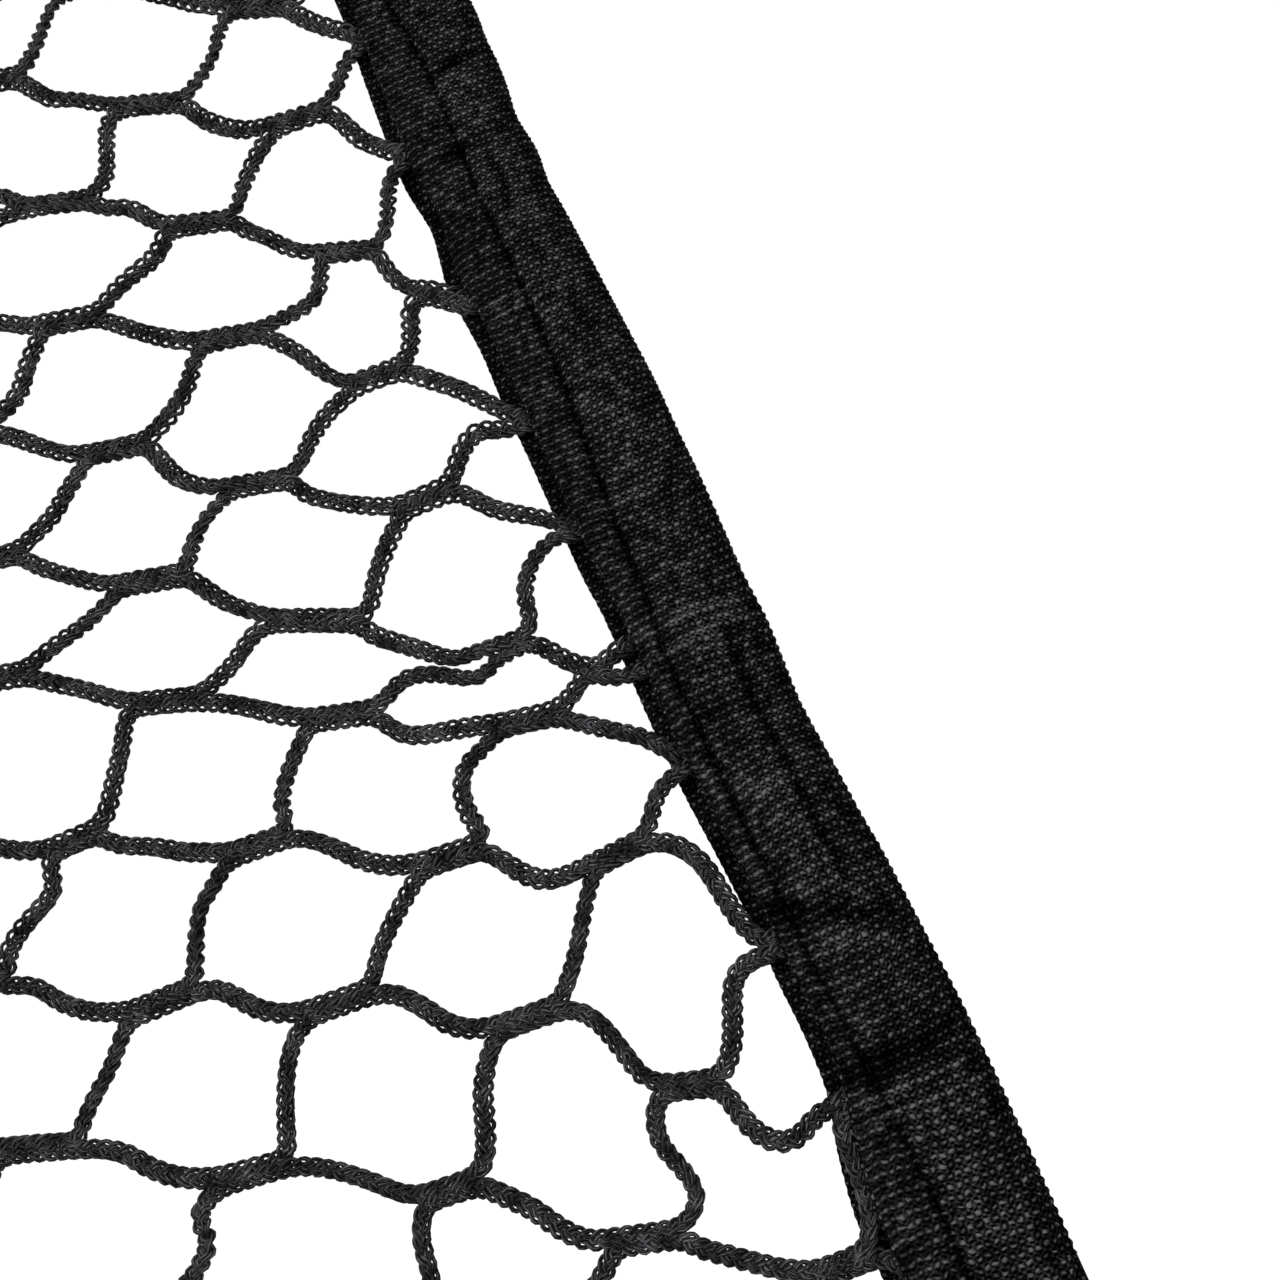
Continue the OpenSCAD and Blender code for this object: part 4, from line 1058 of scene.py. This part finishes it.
LOOP_OUT_MM, SEAT_MM, TAB_HALF_MM = 3, 22, 10  # a tab's loop beyond the border, its sewn leg, half its width
TAB_MM = FOLD_MM + WEB_MM
SELVEDGE_MM, SELVEDGE_DEEP_MM = 0.8, 0.6  # how far in a tab's edges are rounded, and how deep
BOX_MM = (7.5, 7.0)  # half the length and half the width of the sewn box
BOX_IN_MM = 12.5  # its middle, inwards from the border's edge
SEWN_DEEP_MM, SEWN_HALF_MM = 0.35, 0.8  # depth of the furrow under its stitches, and half its width
TAB_STEP_MM = FLOAT_MM / 2
LOOP_STEP_MM = 3


def run_to(start, end, step):
    return np.linspace(start, end, max(2, round(np.hypot(*np.subtract(end, start)) / step) + 1))


def hairpin(inner_end, loop, radius, step, turns):
    """Points from inner_end out to the loop's centre, round it, and back on the other side."""
    return [run_to((inner_end, -radius), (loop, -radius), step)[:-1], arc(loop, radius, -90, 90, turns),
            run_to((loop, radius), (inner_end, radius), step)[1:]]


def tab_outline(loop, inner_end):
    """Outline of the folded tab, and how many of its points are on the outside."""
    outer = np.concatenate(hairpin(inner_end, loop, TAB_MM, PICK_MM / 2, 20))
    inner = np.concatenate(hairpin(inner_end, loop, FOLD_MM, LOOP_STEP_MM, 8))[::-1]
    nose = np.array([[inner_end - 0.4, (TAB_MM + FOLD_MM) / 2]])
    return np.concatenate([outer, nose, inner, nose * (1, -1)]), len(outer)


def make_tab(step, side):
    """A short length of webbing folded through a ring and sewn over the border."""
    reach = net_reach(step)
    points, count = tab_outline(reach + LOOP_OUT_MM, reach - SEAT_MM)
    lay, outwards = round_outline(points)
    half = np.array([TAB_HALF_MM, TAB_HALF_MM - 0.15])
    places = np.concatenate([-half, np.arange(0.5 - TAB_HALF_MM, TAB_HALF_MM - 0.4, TAB_STEP_MM), half[::-1]])
    places = places[:, None]
    edge = share((np.abs(places) - TAB_HALF_MM + SELVEDGE_MM) / SELVEDGE_MM)
    shown = np.arange(len(points)) < count
    relief = RELIEF_MM * shown * (weave(places + TAB_HALF_MM, lay[:-1]) - 0.5) * (1 - edge)
    across = np.abs(points[:, 0] - reach + BOX_IN_MM) - BOX_MM[0]
    to_box = np.abs(np.maximum(across, np.abs(places) - BOX_MM[1]))
    swell = relief - SELVEDGE_DEEP_MM * edge ** 2 - SEWN_DEEP_MM * shown * bell(to_box, SEWN_HALF_MM)
    flat = points + swell[..., None] * outwards
    rings = turned(np.stack([flat[..., 0], np.broadcast_to(places, swell.shape), flat[..., 1]], -1), step)
    lays = np.stack(np.broadcast_arrays(places + TAB_HALF_MM, lay), -1)
    tab = loft_mesh(f"ring_tab_{side}", [(rings, lays, False)])
    finish_piece(tab, WEBBING, "net")
    return tab


RING_FAR_MM = 21.05  # the ring's outer wire, outwards from the border's edge
WIRE_BEND_MM, TUBE_BEND_MM = 4.9, 16.8  # radii of the cord's middle round the wire and the tube
STRAND_GAP_MM = 3  # half the distance of a tie's two strands
TIE_STEP_MM = 2.4
BALL_CLEAR_MM = 45  # a place on the tube past the ball, which the tie's loop doesn't use


def make_tie(step, side):
    """An endless elastic cord, two strands wide, round the ring's wire and the tube."""
    near, far = net_reach(step) + RING_FAR_MM, tube_reach(step)
    slope = math.degrees(math.asin((TUBE_BEND_MM - WIRE_BEND_MM) / (far - near)))
    small = arc(near, WIRE_BEND_MM, 90 + slope, 270 - slope, 15)
    big = arc(far, TUBE_BEND_MM, -90 - slope, 90 + slope, 33)
    loop = np.concatenate([small, run_to(small[-1], big[0], TIE_STEP_MM)[1:-1],
                           big, run_to(big[-1], small[0], TIE_STEP_MM)[1:-1]])
    sideways = unit(turned([(0, 1, 0)], step)[0] - CENTRE)
    lofts = []
    for beside in (-STRAND_GAP_MM, STRAND_GAP_MM):
        middle = turned(np.stack([loop[:, 0], np.full(len(loop), beside), loop[:, 1]], -1), step)
        lofts.append(tube_loft(middle, lengths(loop), TIE_CORD_MM, 12, True, sideways))
    tie = loft_mesh(f"elastic_tie_{side}", lofts)
    tie.data.materials.append(SHEATH)
    turned([(far - BALL_CLEAR_MM, 0, 0)], step)[0]
    turned([(near, 0, 0)], step)[0]
    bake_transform(tie)
    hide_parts(f"tie_cord_{side}")


for step, side in enumerate(SIDES):
    make_tie(step, side)
    tab = make_tab(step, side)
    if step == 0:
        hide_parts("ring_tabs")

# ------------------------------------------------------------------ stitches

STITCH_MM, STITCH_LONG, THREAD_MM = 3.0, 4.6, 0.24  # pitch, length over thickness, and the thread's radius
SEWN_TO_MM = 408  # the seams end here, at the border's mitres


def stitch_tree():
    """A node tree that lays a short length of thread at even steps along lines."""
    tree = bpy.data.node_groups.new("stitch_rows", "GeometryNodeTree")
    for name, kind in (("Lines", "Geometry"), ("Pitch", "Float"), ("Radius", "Float"),
                       ("Thread", "Material")):
        tree.interface.new_socket(name, in_out="INPUT", socket_type=f"NodeSocket{kind}")
    tree.interface.new_socket("Stitches", in_out="OUTPUT", socket_type="NodeSocketGeometry")
    given = add(tree, "NodeGroupInput").outputs

    def step(kind, inputs=None, output=0, **settings):
        return add(tree, kind, inputs, **settings).outputs[output]

    lines = step("GeometryNodeMeshToCurve", {"Mesh": given["Lines"]})
    places = step("GeometryNodeResampleCurve", {"Curve": lines, "Length": given["Pitch"]}, mode="LENGTH")
    bead = step("GeometryNodeMeshUVSphere", {"Segments": 6, "Rings": 4, "Radius": given["Radius"]})
    ahead = step("GeometryNodeInputTangent")
    turn = step("FunctionNodeAlignRotationToVector", {"Vector": ahead}, axis="Z")
    chance = step("FunctionNodeRandomValue", {2: 0.85, 3: 1.15, "Seed": SEED}, 1)
    size = step("ShaderNodeCombineXYZ", {0: 1.0, 1: 1.0, 2: Value(tree, chance) * STITCH_LONG})
    laid = step("GeometryNodeInstanceOnPoints", {"Points": places, "Instance": bead, "Rotation": turn,
                                                 "Scale": size})
    real = step("GeometryNodeRealizeInstances", {0: laid})
    smooth = step("GeometryNodeSetShadeSmooth", {0: real})
    painted = step("GeometryNodeSetMaterial", {"Geometry": smooth, "Material": given["Thread"]})
    add(tree, "NodeGroupOutput", {0: painted})
    return tree


def seam_lines():
    """Stitch lines on both faces of the four borders and on the tabs."""
    lines = []
    up = np.arange(-SEWN_TO_MM, SEWN_TO_MM + 1, 2.0)
    for step in (0, 2, 4, 6):
        near = step == 0
        sunk, _ = front_swell(seam_at(up, near), up, near)
        for back in (-FOLD_MM - sunk + THREAD_MM / 2, np.full(len(up), FOLD_MM)):
            lines.append(turned(np.stack([SEAM_MM + near * seam_shift(up), up, back], -1), step))
    for step in range(8):
        middle = net_reach(step) - BOX_IN_MM
        (a, b), face = BOX_MM, TAB_MM - 0.3
        corners = [(middle - a, -b), (middle + a, -b), (middle + a, b), (middle - a, b)]
        for back in (-face, face):
            for first, last in ((0, 1), (1, 2), (2, 3), (3, 0), (0, 2), (1, 3)):
                ends = [(*corners[k], back) for k in (first, last)]
                lines.append(turned(np.linspace(*ends, 8), step))
    return lines


def make_stitches():
    lines = seam_lines()
    edges, first = [], 0
    for line in lines:
        edges += [(first + k, first + k + 1) for k in range(len(line) - 1)]
        first += len(line)
    mesh = bpy.data.meshes.new("seam_lines")
    mesh.from_pydata(np.concatenate(lines).tolist(), edges, [])
    carrier = put_in("seam_lines", mesh)
    sewing = carrier.modifiers.new("stitch_rows", "NODES")
    sewing.node_group = stitch_tree()
    settings = {"Pitch": STITCH_MM * MM, "Radius": THREAD_MM * MM, "Thread": THREAD}
    for item in sewing.node_group.interface.items_tree:
        if item.in_out == "INPUT" and item.name in settings:
            sewing[item.identifier] = settings[item.name]
    sewn = carrier.evaluated_get(bpy.context.evaluated_depsgraph_get())
    stitches = put_in("seam_stitches", bpy.data.meshes.new_from_object(sewn))
    bpy.data.objects.remove(carrier)
    finish_piece(stitches, THREAD, "net")


make_stitches()

# ------------------------------------------------------------- light and floor


FLOOR_HALF = 12.0
PAPER, GLOW = 0.8, 0.06  # what the floor reflects, and what it adds of its own light where it is seen
SKY = 0.36  # the world's light on what is matt
WHITE = (1, 1, 1, 1)


def make_floor():
    size = FLOOR_HALF
    corners = [(-size, -size, 0), (size, -size, 0), (size, size, 0), (-size, size, 0)]
    mesh = bpy.data.meshes.new("floor")
    mesh.from_pydata(corners, [], [(0, 1, 2, 3)])
    floor = put_in("floor", mesh)
    material = bpy.data.materials.new("matt_white_paper")
    tree = fresh_tree(material)
    paper = add(tree, "ShaderNodeBsdfDiffuse", {"Color": (PAPER, PAPER, PAPER, 1)})
    bright = add(tree, "ShaderNodeBsdfDiffuse", {"Color": WHITE})
    glow = add(tree, "ShaderNodeEmission", {"Color": WHITE, "Strength": GLOW})
    shown = add(tree, "ShaderNodeAddShader", {0: bright.outputs[0], 1: glow.outputs[0]})
    rays = add(tree, "ShaderNodeLightPath").outputs
    mixed = add(tree, "ShaderNodeMixShader", {0: rays["Is Camera Ray"], 1: paper.outputs[0],
                                              2: shown.outputs[0]})
    add(tree, "ShaderNodeOutputMaterial", {"Surface": mixed.outputs[0]})
    mesh.materials.append(material)


def make_world():
    world = bpy.data.worlds.new("studio")
    bpy.context.scene.world = world
    tree = fresh_tree(world)
    soft = add(tree, "ShaderNodeBackground", {"Color": WHITE, "Strength": SKY})
    white = add(tree, "ShaderNodeBackground", {"Color": WHITE, "Strength": 1.0})
    rays = add(tree, "ShaderNodeLightPath").outputs
    camera, glossy, through = [Value(tree, rays[f"Is {kind} Ray"])
                               for kind in ("Camera", "Glossy", "Transmission")]
    seen = camera.maths("MAXIMUM", glossy.maths("MAXIMUM", through))
    mixed = add(tree, "ShaderNodeMixShader", {0: seen, 1: soft.outputs[0], 2: white.outputs[0]})
    add(tree, "ShaderNodeOutputWorld", {"Surface": mixed.outputs[0]})


def make_sun(name, towards, strength, softness):
    data = bpy.data.lights.new(name, "SUN")
    data.energy, data.angle = strength, math.radians(softness)
    put_in(name, data).matrix_world = (-Vector(towards)).to_track_quat("Z", "Y").to_matrix().to_4x4()


make_floor()
make_world()
make_sun("key_light", (0.75, 0.55, -0.95), 2.6, 20)
make_sun("fill_light", (-0.8, 0.5, -0.7), 0.4, 60)
bpy.context.scene.view_settings.view_transform = "Standard"
